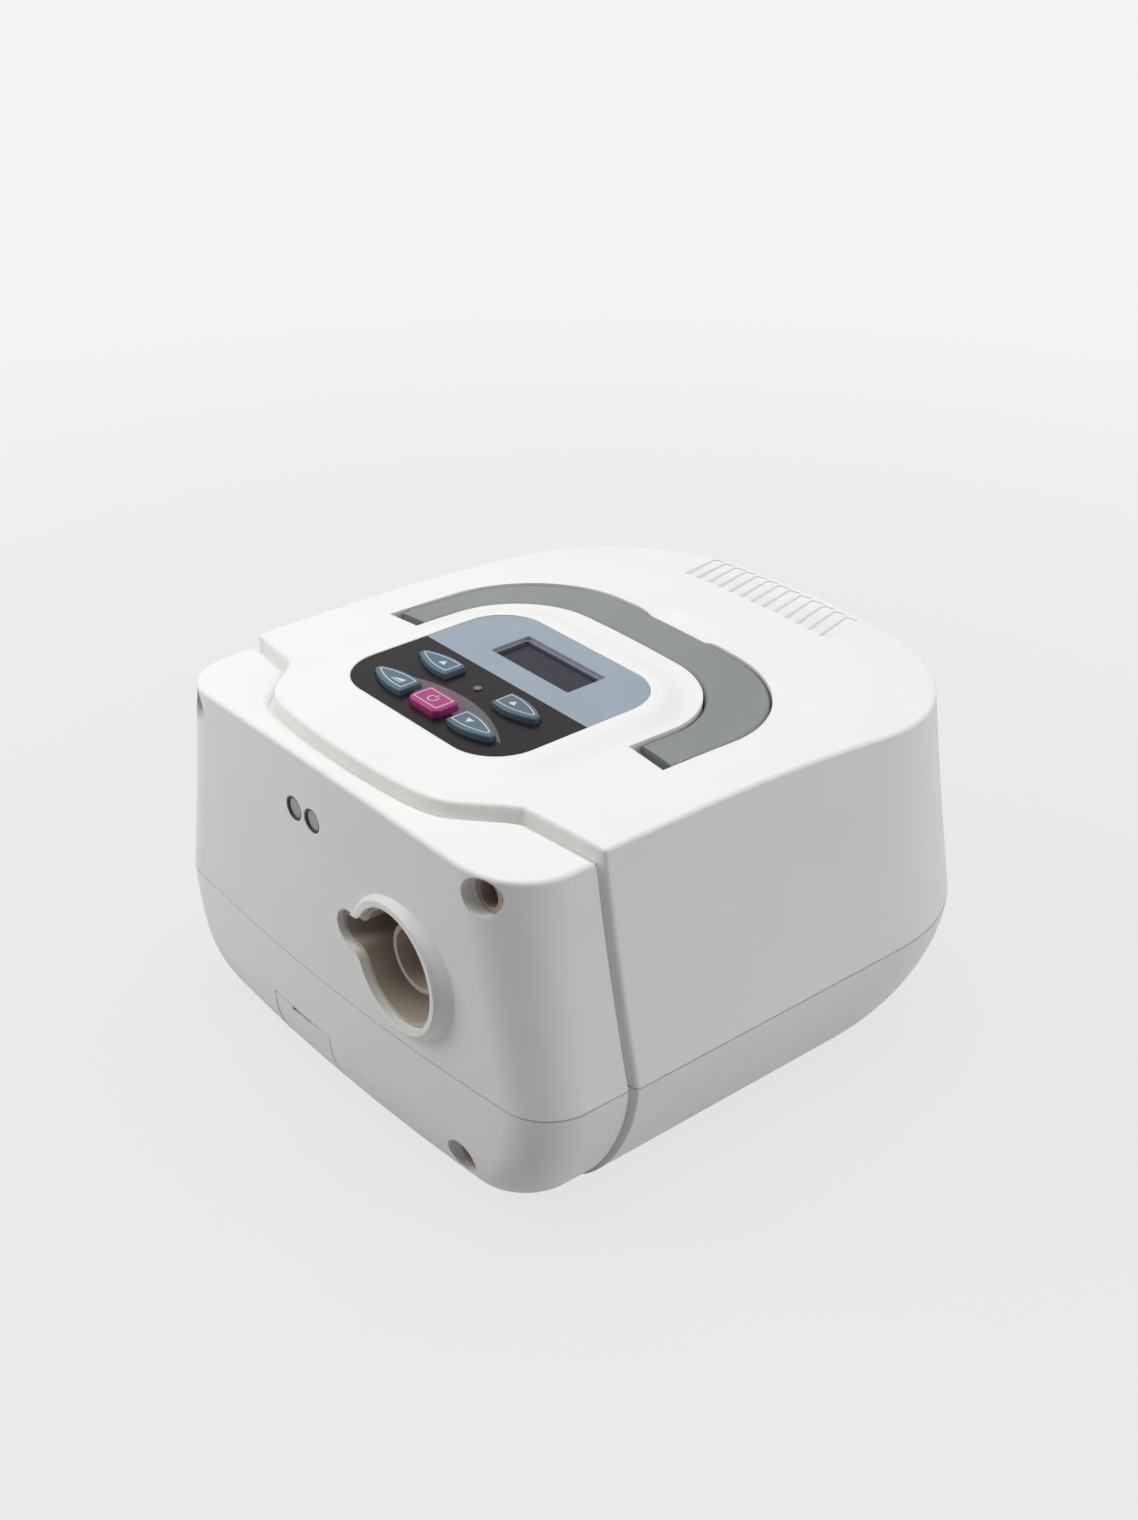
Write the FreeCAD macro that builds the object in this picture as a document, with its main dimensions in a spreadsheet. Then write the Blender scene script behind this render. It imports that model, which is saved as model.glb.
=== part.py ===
import FreeCAD, Part
import math
import os
import Sketcher

from FreeCAD import Placement, Rotation, Vector

doc = FreeCAD.newDocument("bedside_air_machine")

# Driving dimensions in millimetres. +Z is up, -Y is the front with the air outlet, and the
# origin lies on the surface that the machine stands on, under the middle of its box.
DIMENSIONS = [
    # casing
    ("body_width", 194.0, "across the casing at the parting line"),
    ("front_y", -101.5, "front face on the centre line"),
    ("back_y", 103.6, "back face at the parting line"),
    ("foot_height", 2.0, "underside of the casing above the table"),
    ("parting_z", 45.2, "line where upper and lower housing meet"),
    ("crown_z", 125.7, "top of the casing on the centre line"),
    ("crown_radius", 626.0, "arch of the top across the casing"),
    ("fall_start_y", -32.0, "where the top starts to fall towards the back"),
    ("fall_radius", 720.0, "bend of the top towards the back"),
    ("side_lean", 0.163, "inward lean of the sides above the parting line"),
    ("side_waist", 0.75, "how far the sides are hollowed between parting line and top"),
    ("back_lean", 0.03, "inward lean of the back above the parting line"),
    ("side_curl", 25.0, "how far the sides and back turn in under the casing"),
    ("curl_power", 1.7, "fullness of the turn under the casing"),
    ("front_curl", 14.0, "how far the front turns in under the casing"),
    ("front_curl_z", 26.0, "height at which the front starts to turn in"),
    ("front_corner", 17.5, "plan radius of the front corners up to the parting line"),
    ("front_corner_top", 23.0, "plan radius of the front corners at the top"),
    ("back_corner", 57.0, "plan radius of the back corners"),
    ("front_bow", 820.0, "plan radius of the slightly bowed front"),
    ("back_bow", 900.0, "plan radius of the slightly bowed back"),
    ("wall_side", 2.5, "wall of both housings"),
    ("wall_top", 3.0, "wall of the top"),
    ("parting_gap", 0.3, "gap between the housings at the parting line"),
    # front section, set in from the main body behind a groove
    ("section_inset", 1.4, "front section set in from the main body"),
    ("section_drop", 3.4, "top of the front section below the main top"),
    ("seam_side_y", -65.7, "edge of the main body at its sides"),
    ("seam_notch_x", 57.5, "notch between side edge and tongue"),
    ("seam_notch_y", -71.3, "notch between side edge and tongue"),
    ("tongue_front_y", -93.4, "front of the tongue on the centre line"),
    ("tongue_shoulder_x", 29.0, "where the tongue's front turns into its corner"),
    ("tongue_shoulder_y", -91.3, "where the tongue's front turns into its corner"),
    ("tongue_corner_x", 41.6, "middle of the tongue's corner"),
    ("tongue_corner_y", -87.3, "middle of the tongue's corner"),
    ("tongue_end_x", 49.2, "where the corner runs out towards the notch"),
    ("tongue_end_y", -80.0, "where the corner runs out towards the notch"),
    ("groove_width", 1.9, "groove in front of the main body's edge"),
    ("groove_depth", 2.2, "groove below the front section's skin"),
    ("edge_round", 1.3, "rounding of the main body's edges"),
    ("section_round", 1.6, "rounding of the front section's top edge"),
    # control panel
    ("panel_width", 77.6, "control panel, across"),
    ("panel_front_y", -69.2, "front edge of the control panel"),
    ("panel_back_y", 0.4, "back edge of the control panel"),
    ("panel_corner", 16.0, "corner radius of the control panel"),
    ("panel_rise", 0.7, "flat land around the control panel, above the crown"),
    ("panel_recess", 1.2, "depth of the recess that holds the overlay"),
    ("overlay_thick", 1.0, "control overlay"),
    ("overlay_gap", 0.15, "gap around the overlay"),
    ("land_rim", 2.6, "flat land outside the panel recess"),
    ("land_slope", 8.5, "width of the soft slope from the land to the top"),
    ("window_width", 36.8, "display window, across"),
    ("window_front_y", -23.2, "display window, front edge"),
    ("window_back_y", -8.2, "display window, back edge"),
    ("window_corner", 0.8, "display window, corner radius"),
    # carrying handle
    ("handle_half", 65.0, "outer half width of the handle"),
    ("handle_back_y", 37.5, "outer back edge of the handle"),
    ("handle_outer_corner", 38.0, "outer corner radius of the handle"),
    ("handle_inner_half", 51.6, "inner half width of the handle"),
    ("handle_inner_back_y", 18.6, "inner back edge of the handle"),
    ("handle_inner_corner", 30.0, "inner corner radius of the handle"),
    ("handle_front_y", -23.6, "front end of the handle's arms"),
    ("trough_front_y", -27.6, "front end of the handle's trough"),
    ("handle_thick", 9.0, "thickness of the handle"),
    ("handle_gap", 0.6, "gap around the handle"),
    ("handle_sink", 0.4, "handle's top below the casing's top"),
    ("handle_round", 1.6, "rounding of the handle's edges"),
    ("trough_depth", 12.0, "depth of the trough below the top"),
    ("trough_wall", 2.0, "wall of the trough"),
    ("pin_radius", 2.0, "handle pin"),
    ("pin_fit", 0.05, "running clearance on pins and shafts"),
    ("pin_setback", 5.0, "pin axis behind the arms' front end"),
    ("scoop_half", 17.5, "half width of the thumb scoop behind the handle"),
    ("scoop_length", 12.5, "length of the thumb scoop behind the handle"),
    ("scoop_depth", 3.2, "depth of the thumb scoop at the handle"),
    # air outlet
    ("outlet_x", 36.4, "axis of the air outlet"),
    ("outlet_z", 72.0, "axis of the air outlet"),
    ("mouth_radius", 17.3, "mouth of the outlet recess"),
    ("slot_reach", 27.8, "end of the keyhole slot from the outlet axis"),
    ("slot_radius", 4.7, "half height of the keyhole slot"),
    ("slot_rise", 1.2, "slot axis above the outlet axis"),
    ("slot_blend", 5.0, "blend between slot and mouth"),
    ("collar_wall", 3.3, "collar around the mouth"),
    ("collar_proud", 2.1, "collar in front of the front face's centre"),
    ("liner_setback", 2.4, "front edge of the lining behind the collar's face"),
    ("liner_wall", 1.3, "wall of the outlet socket"),
    ("socket_depth", 24.0, "depth of the outlet recess"),
    ("tube_radius", 11.0, "outside of the outlet tube"),
    ("tube_shank", 11.3, "outside of the outlet tube behind its recess"),
    ("tube_bore", 9.4, "bore of the outlet tube"),
    ("tube_set_back", 9.0, "tube's rim behind the collar's face"),
    # screw wells and contacts of the front
    ("well_high_x", 70.7, "upper screw wells, from the centre line"),
    ("well_high_z", 111.3, "upper screw wells"),
    ("well_low_x", 60.3, "lower screw well"),
    ("well_low_z", 16.3, "lower screw well"),
    ("well_radius", 5.8, "screw well in front of its ledge"),
    ("well_shaft", 5.1, "screw well behind its ledge"),
    ("well_wall", 1.8, "wall around a screw well"),
    ("well_ledge_y", -94.0, "front of the bushing in a screw well"),
    ("well_end_y", -82.0, "bottom of a screw well"),
    ("bushing_collar", 1.6, "collar of a bushing, front to back"),
    ("bushing_bore", 4.0, "bore of a bushing"),
    ("bushing_floor", 2.0, "floor of a bushing under the screw's head"),
    ("contact_left_x", -12.3, "left contact"),
    ("contact_right_x", -3.0, "right contact"),
    ("contact_z", 102.2, "contacts"),
    ("contact_radius", 3.15, "contact pin"),
    ("bezel_radius", 3.85, "dark ring around a contact"),
    ("bezel_sunk", 0.2, "ring behind the front face"),
    ("bezel_length", 5.0, "length of that ring"),
    ("contact_sunk", 0.6, "contact behind the front face"),
    ("contact_length", 6.0, "length of a contact"),
    # row of slanted grooves behind the handle
    ("vent_count", 13, "grooves"),
    ("vent_pitch", 5.28, "from one groove to the next"),
    ("vent_width", 3.9, "width of a groove"),
    ("vent_middle_x", -7.2, "middle of the row"),
    ("vent_middle_y", 86.5, "middle of a groove"),
    ("vent_half", 11.5, "half length of a groove"),
    ("vent_lean", 20.3, "lean of the grooves in degrees"),
    ("vent_deep", 1.4, "depth of a groove at its front end"),
    ("vent_shallow", 0.15, "depth of a groove at its back end"),
    # keys and indicator
    ("key_middle_x", -0.6, "middle of the key field"),
    ("key_flat_x", 11.3, "flat ends of the pointed keys, from the middle of the field"),
    ("key_front_y", -58.4, "front row of keys"),
    ("key_back_y", -41.9, "back row of keys"),
    ("key_length", 16.6, "pointed key, from its flat end to its tip"),
    ("key_width", 7.8, "pointed key, across its flat end"),
    ("key_tip", 2.0, "pointed key, across its tip"),
    ("key_arc", 24.0, "bend of a pointed key's sides"),
    ("power_width", 13.8, "power key, across"),
    ("power_depth", 9.4, "power key, front to back"),
    ("power_corner", 2.2, "power key, corner radius"),
    ("power_rise", 0.4, "power key above the pointed keys"),
    ("key_proud", 2.1, "keys above the overlay"),
    ("key_round", 0.8, "rounding of a key's top edge"),
    ("key_gap", 0.3, "gap around a key"),
    ("key_travel", 0.9, "travel of a key"),
    ("flange_rim", 1.0, "flange that keeps a key in"),
    ("flange_thick", 1.0, "thickness of that flange"),
    ("flange_drop", 1.3, "top of the flange below the housing's inner face"),
    ("stem_radius", 1.6, "key stem over its switch"),
    ("light_y", -42.2, "indicator light"),
    ("light_radius", 1.3, "indicator light"),
    # control board and display
    ("board_thick", 1.6, "circuit boards"),
    ("control_half", 44.0, "half width of the control board"),
    ("control_front_y", -67.0, "front edge of the control board"),
    ("control_back_y", 3.0, "back edge of the control board"),
    ("control_drop", 14.2, "underside of the control board below the crown"),
    ("switch_side", 6.0, "push switch, across"),
    ("switch_height", 3.5, "push switch"),
    ("plunger_height", 0.9, "plunger of a push switch"),
    ("display_rim", 3.6, "display frame outside the window"),
    ("display_drop", 4.4, "top of the display frame below the crown"),
    ("window_thick", 0.8, "display window"),
    ("window_rim", 1.4, "window's rim under the overlay"),
    ("post_radius", 2.8, "posts that carry the boards"),
    ("board_screw", 1.2, "board screw, shank radius"),
    ("board_screw_head", 2.4, "board screw, head radius"),
    ("control_post_x", 40.0, "posts of the control board"),
    ("control_post_front_y", -62.0, "front posts of the control board"),
    ("control_post_back_y", -2.0, "back posts of the control board"),
    # card door
    ("door_left_x", -32.8, "left edge of the card door"),
    ("door_right_x", -2.0, "right edge of the card door"),
    ("door_low_z", 9.2, "lower edge of the card door"),
    ("door_high_z", 24.8, "upper edge of the card door"),
    ("door_thick", 2.0, "card door"),
    ("door_gap", 0.35, "gap around the card door"),
    ("door_swing_gap", 1.0, "gap under the card door, which it swings through"),
    ("door_barrel", 1.3, "hinge barrel of the card door"),
    ("door_pin", 0.75, "hinge stub of the card door"),
    ("door_stub", 2.8, "length of a hinge stub"),
    ("door_ear", 5.0, "thickness of the ears that hold the hinge stubs"),
    ("door_wedge", 1.2, "widening of the gap at the card door's lower left corner"),
    ("slit_left_x", -22.6, "left end of the fingernail slit"),
    ("slit_right_x", -12.3, "right end of the fingernail slit"),
    ("slit_height", 1.3, "fingernail slit"),
    ("slit_depth", 2.8, "fingernail slit"),
    # blower
    ("blower_y", 22.0, "axis of the blower"),
    ("volute_radius", 44.0, "blower casing"),
    ("volute_low_z", 52.0, "underside of the blower casing"),
    ("volute_high_z", 86.0, "top of the blower casing"),
    ("volute_wall", 2.2, "wall of the blower casing"),
    ("spout_radius", 13.2, "spout of the blower casing"),
    ("spout_front_y", -52.0, "front end of the spout"),
    ("inlet_radius", 16.0, "air inlet of the blower casing"),
    ("wheel_radius", 37.0, "impeller"),
    ("wheel_low_z", 58.0, "underside of the impeller"),
    ("wheel_blade", 15.0, "height of the impeller's blades"),
    ("blade_count", 13, "impeller blades"),
    ("motor_radius", 23.0, "motor can"),
    ("motor_low_z", 20.0, "underside of the motor"),
    ("shaft_radius", 2.5, "motor shaft"),
    ("mount_radius", 5.0, "rubber mount"),
    ("mount_height", 8.0, "rubber mount"),
    ("mount_x", 28.0, "rubber mounts, from the blower's axis"),
    # intake
    ("silencer_half", 41.0, "half width of the silencer box"),
    ("silencer_low_z", 87.0, "underside of the silencer box"),
    ("silencer_high_z", 105.0, "top of the silencer box"),
    ("silencer_front_y", -18.0, "front of the silencer box"),
    ("silencer_back_y", 62.0, "back of the silencer box"),
    ("inner_wall", 2.0, "walls of boxes inside the casing"),
    ("filter_x", 17.0, "middle of the air filter"),
    ("filter_z", 75.0, "middle of the air filter"),
    ("cap_width", 42.0, "filter cap, across"),
    ("cap_height", 40.0, "filter cap, up"),
    ("cap_gap", 0.3, "gap around the filter cap"),
    ("cap_thick", 2.2, "filter cap"),
    ("filter_front_y", 74.0, "front of the filter box"),
    ("filter_thick", 9.0, "air filter"),
    # back sockets
    ("inlet_x", -24.0, "middle of the power inlet"),
    ("inlet_z", 75.5, "middle of the power inlet's socket"),
    ("inlet_width", 31.0, "flange of the power inlet"),
    ("inlet_low_z", 50.0, "lower edge of the power inlet's flange"),
    ("inlet_high_z", 88.0, "upper edge of the power inlet's flange"),
    ("inlet_flange", 1.5, "thickness of the power inlet's flange"),
    ("inlet_depth", 24.0, "depth of the power inlet"),
    ("socket_width", 24.6, "cavity of the power inlet, across"),
    ("socket_height", 16.6, "cavity of the power inlet, up"),
    ("blade_depth", 15.0, "depth of the power inlet's cavity"),
    ("drawer_width", 23.0, "fuse drawer, across"),
    ("drawer_height", 7.6, "fuse drawer, up"),
    ("drawer_low_z", 53.2, "underside of the fuse drawer"),
    ("drawer_length", 21.0, "fuse drawer, front to back"),
    ("drawer_gap", 0.2, "gap around the fuse drawer"),
    ("port_x", -24.0, "middle of the data port"),
    ("port_z", 95.0, "middle of the data port"),
    ("port_side", 12.0, "data port, across"),
    ("port_mouth", 8.4, "mouth of the data port"),
    # boards, posts, screws and feet in the lower housing
    ("base_board_z", 12.0, "underside of the main and power boards"),
    ("base_board_near_x", 36.0, "inner edges of the main and power boards"),
    ("base_board_far_x", 76.0, "outer edges of the main and power boards"),
    ("base_board_front_y", -52.0, "front edges of the main and power boards"),
    ("base_board_back_y", 48.0, "back edges of the main and power boards"),
    ("foot_radius", 8.0, "rubber foot"),
    ("foot_recess", 1.2, "recess that holds a rubber foot"),
    ("foot_front_x", 52.0, "front feet"),
    ("foot_front_y", -54.0, "front feet"),
    ("foot_rear_x", 46.0, "rear feet"),
    ("foot_rear_y", 50.0, "rear feet"),
    ("screw_front_x", 71.0, "front housing screws"),
    ("screw_front_y", -60.0, "front housing screws"),
    ("screw_rear_x", 61.0, "rear housing screws"),
    ("screw_rear_y", 56.0, "rear housing screws"),
    ("screw_radius", 1.7, "housing screw, shank radius"),
    ("screw_head", 3.2, "housing screw, head radius"),
    ("screw_seat_z", 12.0, "seat of a housing screw's head"),
    ("screw_length", 48.0, "housing screw, under its head"),
    ("screw_post", 5.0, "post around a housing screw"),
    ("screw_head_height", 2.4, "head of a housing screw"),
    ("board_screw_height", 1.6, "head of a board screw"),
    ("blade_thickness", 2.0, "blade of the power inlet, across"),
    ("blade_height", 4.0, "blade of the power inlet, up"),
    ("blade_sunk", 3.0, "blade's end behind the inlet's face"),
    ("port_depth", 12.0, "data port, front to back"),
    ("port_mouth_depth", 9.0, "mouth of the data port"),
    ("port_sunk", 2.6, "data port's face behind the back edge"),
    ("foam_thick", 9.0, "foam along the silencer's sides"),
    ("lip_wall", 1.6, "lip behind the filter cap"),
    ("lip_length", 3.0, "lip behind the filter cap, front to back"),
    # smaller sizes of the parts inside the casing
    ("lay_gap", 0.05, "gap between faces that lie on each other"),
    ("socket_floor", 2.0, "floor of the outlet socket"),
    ("socket_flange", 2.0, "flange of the outlet socket behind the collar"),
    ("tube_flange", 14.0, "flange of the outlet tube, radius"),
    ("tube_end_y", -60.0, "inner end of the outlet tube"),
    ("tap_y", -70.0, "barb for the sensing tube on the outlet tube"),
    ("barb_radius", 1.25, "barbs for the sensing tube"),
    ("sensing_radius", 2.2, "sensing tube, outside"),
    ("coupling_front_y", -66.0, "front end of the rubber coupling"),
    ("coupling_back_y", -44.0, "back end of the rubber coupling"),
    ("coupling_wall", 2.3, "wall of the rubber coupling"),
    ("split_z", 69.0, "line where the blower casing's halves meet"),
    ("wheel_disc", 1.6, "disc of the impeller"),
    ("wheel_hub", 6.0, "hub of the impeller, radius"),
    ("wheel_eye", 17.0, "open middle of the impeller, radius"),
    ("blade_thick", 1.2, "impeller blade"),
    ("blade_turn", 38.0, "lean of an impeller blade in degrees"),
    ("shaft_low_z", 30.0, "lower end of the motor shaft"),
    ("neck_half", 14.0, "neck between filter box and silencer, half width"),
    ("neck_low_z", 88.0, "underside of the neck"),
    ("neck_high_z", 97.0, "top of the neck"),
    ("box_back_y", 98.0, "back of the filter box"),
    ("cap_front_y", 99.0, "inner face of the filter cap"),
    ("louvre_count", 7, "louvres of the filter cap"),
    ("louvre_pitch", 5.0, "from one louvre to the next"),
    ("louvre_height", 2.2, "opening between louvres"),
    ("seat_y", 101.0, "seat of the power inlet's flange"),
    ("fuse_radius", 2.6, "fuse"),
    ("fuse_length", 18.0, "fuse"),
    ("reader_front_y", -84.0, "front of the card reader"),
    ("reader_back_y", -58.0, "back of the card reader"),
    ("reader_high_z", 18.0, "top of the card reader"),
    ("reader_width", 30.0, "card reader, across"),
    ("card_width", 24.8, "card slot, across"),
    ("card_height", 2.6, "card slot, up"),
    ("card_slot_z", 12.6, "card slot"),
    ("ribbon_x", 62.0, "upright run of the panel's ribbon cable"),
    ("ribbon_front_y", -46.0, "front edge of the ribbon cable"),
    ("ribbon_back_y", -34.0, "back edge of the ribbon cable"),
    ("ribbon_thick", 0.5, "ribbon cable"),
]

sheet = doc.addObject("Spreadsheet::Sheet", "Dims")
for row, (alias, number, note) in enumerate(DIMENSIONS, 1):
    sheet.set(f"A{row}", alias)
    sheet.set(f"B{row}", str(number))
    sheet.set(f"C{row}", note)
    sheet.setAlias(f"B{row}", alias)
doc.recompute()


class Size:
    """A sheet value, or a sum or product of them: its number, and the same thing as an expression."""

    def __init__(self, number, text):
        self.number = number
        self.text = text

    def __float__(self):
        return float(self.number)

    def __str__(self):
        return self.text

    def __add__(self, other):
        return Size(self.number + float(other), f"({self} + {other})")

    def __radd__(self, other):
        return Size(float(other) + self.number, f"({other} + {self})")

    def __sub__(self, other):
        return Size(self.number - float(other), f"({self} - {other})")

    def __rsub__(self, other):
        return Size(float(other) - self.number, f"({other} - {self})")

    def __mul__(self, other):
        return Size(self.number * float(other), f"({self} * {other})")

    def __rmul__(self, other):
        return Size(float(other) * self.number, f"({other} * {self})")

    def __truediv__(self, other):
        return Size(self.number / float(other), f"({self} / {other})")

    def __neg__(self):
        return Size(-self.number, f"(0 - {self})")


class Sheet:
    """Every alias of the sheet as a Size."""


D = Sheet()
for alias, number, note in DIMENSIONS:
    setattr(D, alias, Size(float(getattr(sheet, alias)), f"Dims.{alias}"))

PANEL_Z = D.crown_z + D.panel_rise
CONTROL_Z = D.crown_z - D.control_drop
DISPLAY_FRAME_Z = D.crown_z - D.display_drop


# ---------------------------------------------------------------- casing surfaces

def vec(x, y, z):
    return Vector(float(x), float(y), float(z))


def bowed_corner(half, edge_y, corner, bow, side):
    """Centre of a plan corner that touches a straight side and a bowed end, and its tangent point."""
    middle_y = edge_y - side * bow
    reach = math.sqrt((bow - corner) ** 2 - (half - corner) ** 2)
    centre = Vector(half - corner, middle_y + side * reach, 0)
    outward = (centre - Vector(0, middle_y, 0)).normalize()
    return centre, centre + outward * corner, outward


def section_wire(z, half, front, back, front_corner, back_corner, front_bow, back_bow):
    """Closed plan outline at one height: straight sides, bowed front and back, round corners."""
    lift = Vector(0, 0, z)
    ends = []
    for edge_y, corner, bow, side in ((front, front_corner, front_bow, -1), (back, back_corner, back_bow, 1)):
        centre, touch, outward = bowed_corner(half, edge_y, corner, bow, side)
        on_side = centre + Vector(corner, 0, 0)
        middle = centre + (outward + Vector(1, 0, 0)).normalize() * corner
        ends.append((Vector(0, edge_y, 0), touch, middle, on_side))

    def left(point):
        return Vector(-point.x, point.y, point.z)

    (front_mid, f_touch, f_mid, f_side), (back_mid, b_touch, b_mid, b_side) = ends
    edges = [
        Part.Arc(left(f_touch) + lift, front_mid + lift, f_touch + lift).toShape(),
        Part.Arc(f_touch + lift, f_mid + lift, f_side + lift).toShape(),
        Part.makeLine(f_side + lift, b_side + lift),
        Part.Arc(b_side + lift, b_mid + lift, b_touch + lift).toShape(),
        Part.Arc(b_touch + lift, back_mid + lift, left(b_touch) + lift).toShape(),
        Part.Arc(left(b_touch) + lift, left(b_mid) + lift, left(b_side) + lift).toShape(),
        Part.makeLine(left(b_side) + lift, left(f_side) + lift),
        Part.Arc(left(f_side) + lift, left(f_mid) + lift, left(f_touch) + lift).toShape(),
    ]
    return Part.Wire(edges)


def curl(z, start_z, depth, power):
    """How far a wall has turned in at height z, below the height where it starts to."""
    fraction = min(1.0, max(0.0, (start_z - z) / (start_z - float(D.foot_height))))
    return depth * (1 - (1 - fraction ** power) ** (1 / power))


def side_at(z):
    """Half width of the main body at height z."""
    half = float(D.body_width) / 2
    parting = float(D.parting_z)
    if z <= parting:
        return half - curl(z, parting, float(D.side_curl), float(D.curl_power))
    rise = (z - parting) / (float(D.crown_z) - parting)
    hollow = 4 * float(D.side_waist) * rise * (1 - rise)
    return half - float(D.side_lean) * (z - parting) - hollow


def back_at(z):
    parting = float(D.parting_z)
    if z <= parting:
        return float(D.back_y) - curl(z, parting, float(D.side_curl), float(D.curl_power))
    return float(D.back_y) - float(D.back_lean) * (z - parting)


def front_at(z):
    return float(D.front_y) + curl(z, float(D.front_curl_z), float(D.front_curl), 2.0)


def front_corner_at(z):
    """Plan radius of the front corners, larger towards the top."""
    low = float(D.front_corner)
    rise = max(0.0, (z - float(D.parting_z)) / (float(D.crown_z) - float(D.parting_z)))
    return low + (float(D.front_corner_top) - low) * rise


def body_section(z, inset, front_inset, floor=0.0):
    """Plan outline of the casing at height z, drawn in by inset."""
    return section_wire(
        z + floor,
        side_at(z) - inset,
        front_at(z) + front_inset,
        back_at(z) - inset,
        front_corner_at(z) - front_inset,
        float(D.back_corner) - inset,
        float(D.front_bow) - front_inset,
        float(D.back_bow) - inset,
    )


LOWER_STEPS = 9
UPPER_STEPS = 5
ABOVE_TOP = 12.0


def lower_heights():
    """Heights of the lower sections, closer together where the wall turns under."""
    parting = float(D.parting_z)
    depth = parting - float(D.foot_height)
    return [parting - depth * math.sin(math.pi / 2 * step / (LOWER_STEPS - 1)) for step in range(LOWER_STEPS)]


def upper_heights():
    parting = float(D.parting_z)
    rise = float(D.crown_z) + ABOVE_TOP - parting
    return [parting + rise * step / (UPPER_STEPS - 1) for step in range(UPPER_STEPS)]


def loft(heights, inset, front_inset, floor=0.0):
    return Part.makeLoft([body_section(z, inset, front_inset, floor) for z in heights], True, False)


def prism(wire, low, high):
    """A flat outline drawn at z = 0, made a solid from low to high."""
    face = Part.Face(wire)
    face.translate(Vector(0, 0, float(low)))
    return face.extrude(Vector(0, 0, float(high) - float(low)))


def smooth(value):
    value = min(1.0, max(0.0, value))
    return value * value * (3 - 2 * value)


def outside_panel(x, y):
    """Distance from the panel's outline, in plan; negative inside."""
    half_w = float(D.panel_width) / 2
    half_d = (float(D.panel_back_y) - float(D.panel_front_y)) / 2
    middle_y = (float(D.panel_back_y) + float(D.panel_front_y)) / 2
    corner = float(D.panel_corner)
    over_x = abs(x) - half_w + corner
    over_y = abs(y - middle_y) - half_d + corner
    return math.hypot(max(over_x, 0), max(over_y, 0)) + min(max(over_x, over_y), 0) - corner


def crown(x, y):
    """Height of the arched top, without the land around the panel."""
    fall = max(0.0, y - float(D.fall_start_y))
    return float(D.crown_z) - x * x / (2 * float(D.crown_radius)) - fall * fall / (2 * float(D.fall_radius))


def top_surface(x, y):
    """Height of the main top: arch, flat land around the panel and thumb scoop."""
    height = crown(x, y)
    weight = smooth(1 - (outside_panel(x, y) - float(D.land_rim)) / float(D.land_slope))
    height += weight * (float(PANEL_Z) - height)
    along = (y - float(D.handle_back_y)) / float(D.scoop_length)
    across = x / float(D.scoop_half)
    dish = 1 - across * across - max(0.0, along) ** 2
    if dish > 0:
        rise = (y - float(D.handle_inner_back_y)) / 19.0
        height -= float(D.scoop_depth) * smooth(dish) * smooth(rise)
    return height


GRID_STEP = 3.0


def block_under(height, drop=0.0):
    """Solid under a height surface, from far below it, lowered by drop."""
    half = float(D.body_width) / 2 + 6
    low_y = float(D.front_y) - 8
    high_y = float(D.back_y) + 8
    columns = int(2 * half / GRID_STEP)
    rows = int((high_y - low_y) / GRID_STEP)
    points = []
    for i in range(columns + 1):
        x = -half + 2 * half * i / columns
        line = []
        for j in range(rows + 1):
            y = low_y + (high_y - low_y) * j / rows
            line.append(Vector(x, y, height(x, y) - drop))
        points.append(line)
    surface = Part.BSplineSurface()
    surface.interpolate(points)
    return surface.toShape().extrude(Vector(0, 0, -float(D.crown_z) - 40))


def inner_top(x, y):
    """Underside of the main top: below the arch, and below the scoop where that is lower."""
    return min(crown(x, y), top_surface(x, y))


def seam_outline(grow=0.0):
    """Region of the main body in plan: tongue in front, straight seams to the sides, grown by grow."""
    far_x = float(D.body_width) / 2 + 13
    far_y = float(D.back_y) + 20
    notch = Vector(float(D.seam_notch_x), float(D.seam_notch_y), 0)
    side_x = side_at(float(D.crown_z))
    slope = (float(D.seam_side_y) - notch.y) / (side_x - notch.x)
    notch_out = Vector(notch.x + 0.45 * grow, notch.y - grow, 0)
    seam_end = Vector(far_x, notch_out.y + slope * (far_x - notch_out.x), 0)
    curve = [
        notch_out,
        Vector(float(D.tongue_end_x) + 0.72 * grow, float(D.tongue_end_y) - 0.70 * grow, 0),
        Vector(float(D.tongue_corner_x) + 0.50 * grow, float(D.tongue_corner_y) - 0.87 * grow, 0),
        Vector(float(D.tongue_shoulder_x) + 0.15 * grow, float(D.tongue_shoulder_y) - 0.99 * grow, 0),
        Vector(0, float(D.tongue_front_y) - grow, 0),
    ]
    curve += [Vector(-point.x, point.y, 0) for point in reversed(curve[:-1])]
    tongue = Part.BSplineCurve()
    tongue.interpolate(curve)
    left_end = Vector(-seam_end.x, seam_end.y, 0)
    right_back = Vector(far_x, far_y, 0)
    left_back = Vector(-far_x, far_y, 0)
    return Part.Wire([
        Part.makeLine(seam_end, notch_out),
        tongue.toShape(),
        Part.makeLine(curve[-1], left_end),
        Part.makeLine(left_end, left_back),
        Part.makeLine(left_back, right_back),
        Part.makeLine(right_back, seam_end),
    ])


def front_crown(x, y):
    """Height of the front section's top."""
    return crown(x, y) - float(D.section_drop)


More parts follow.
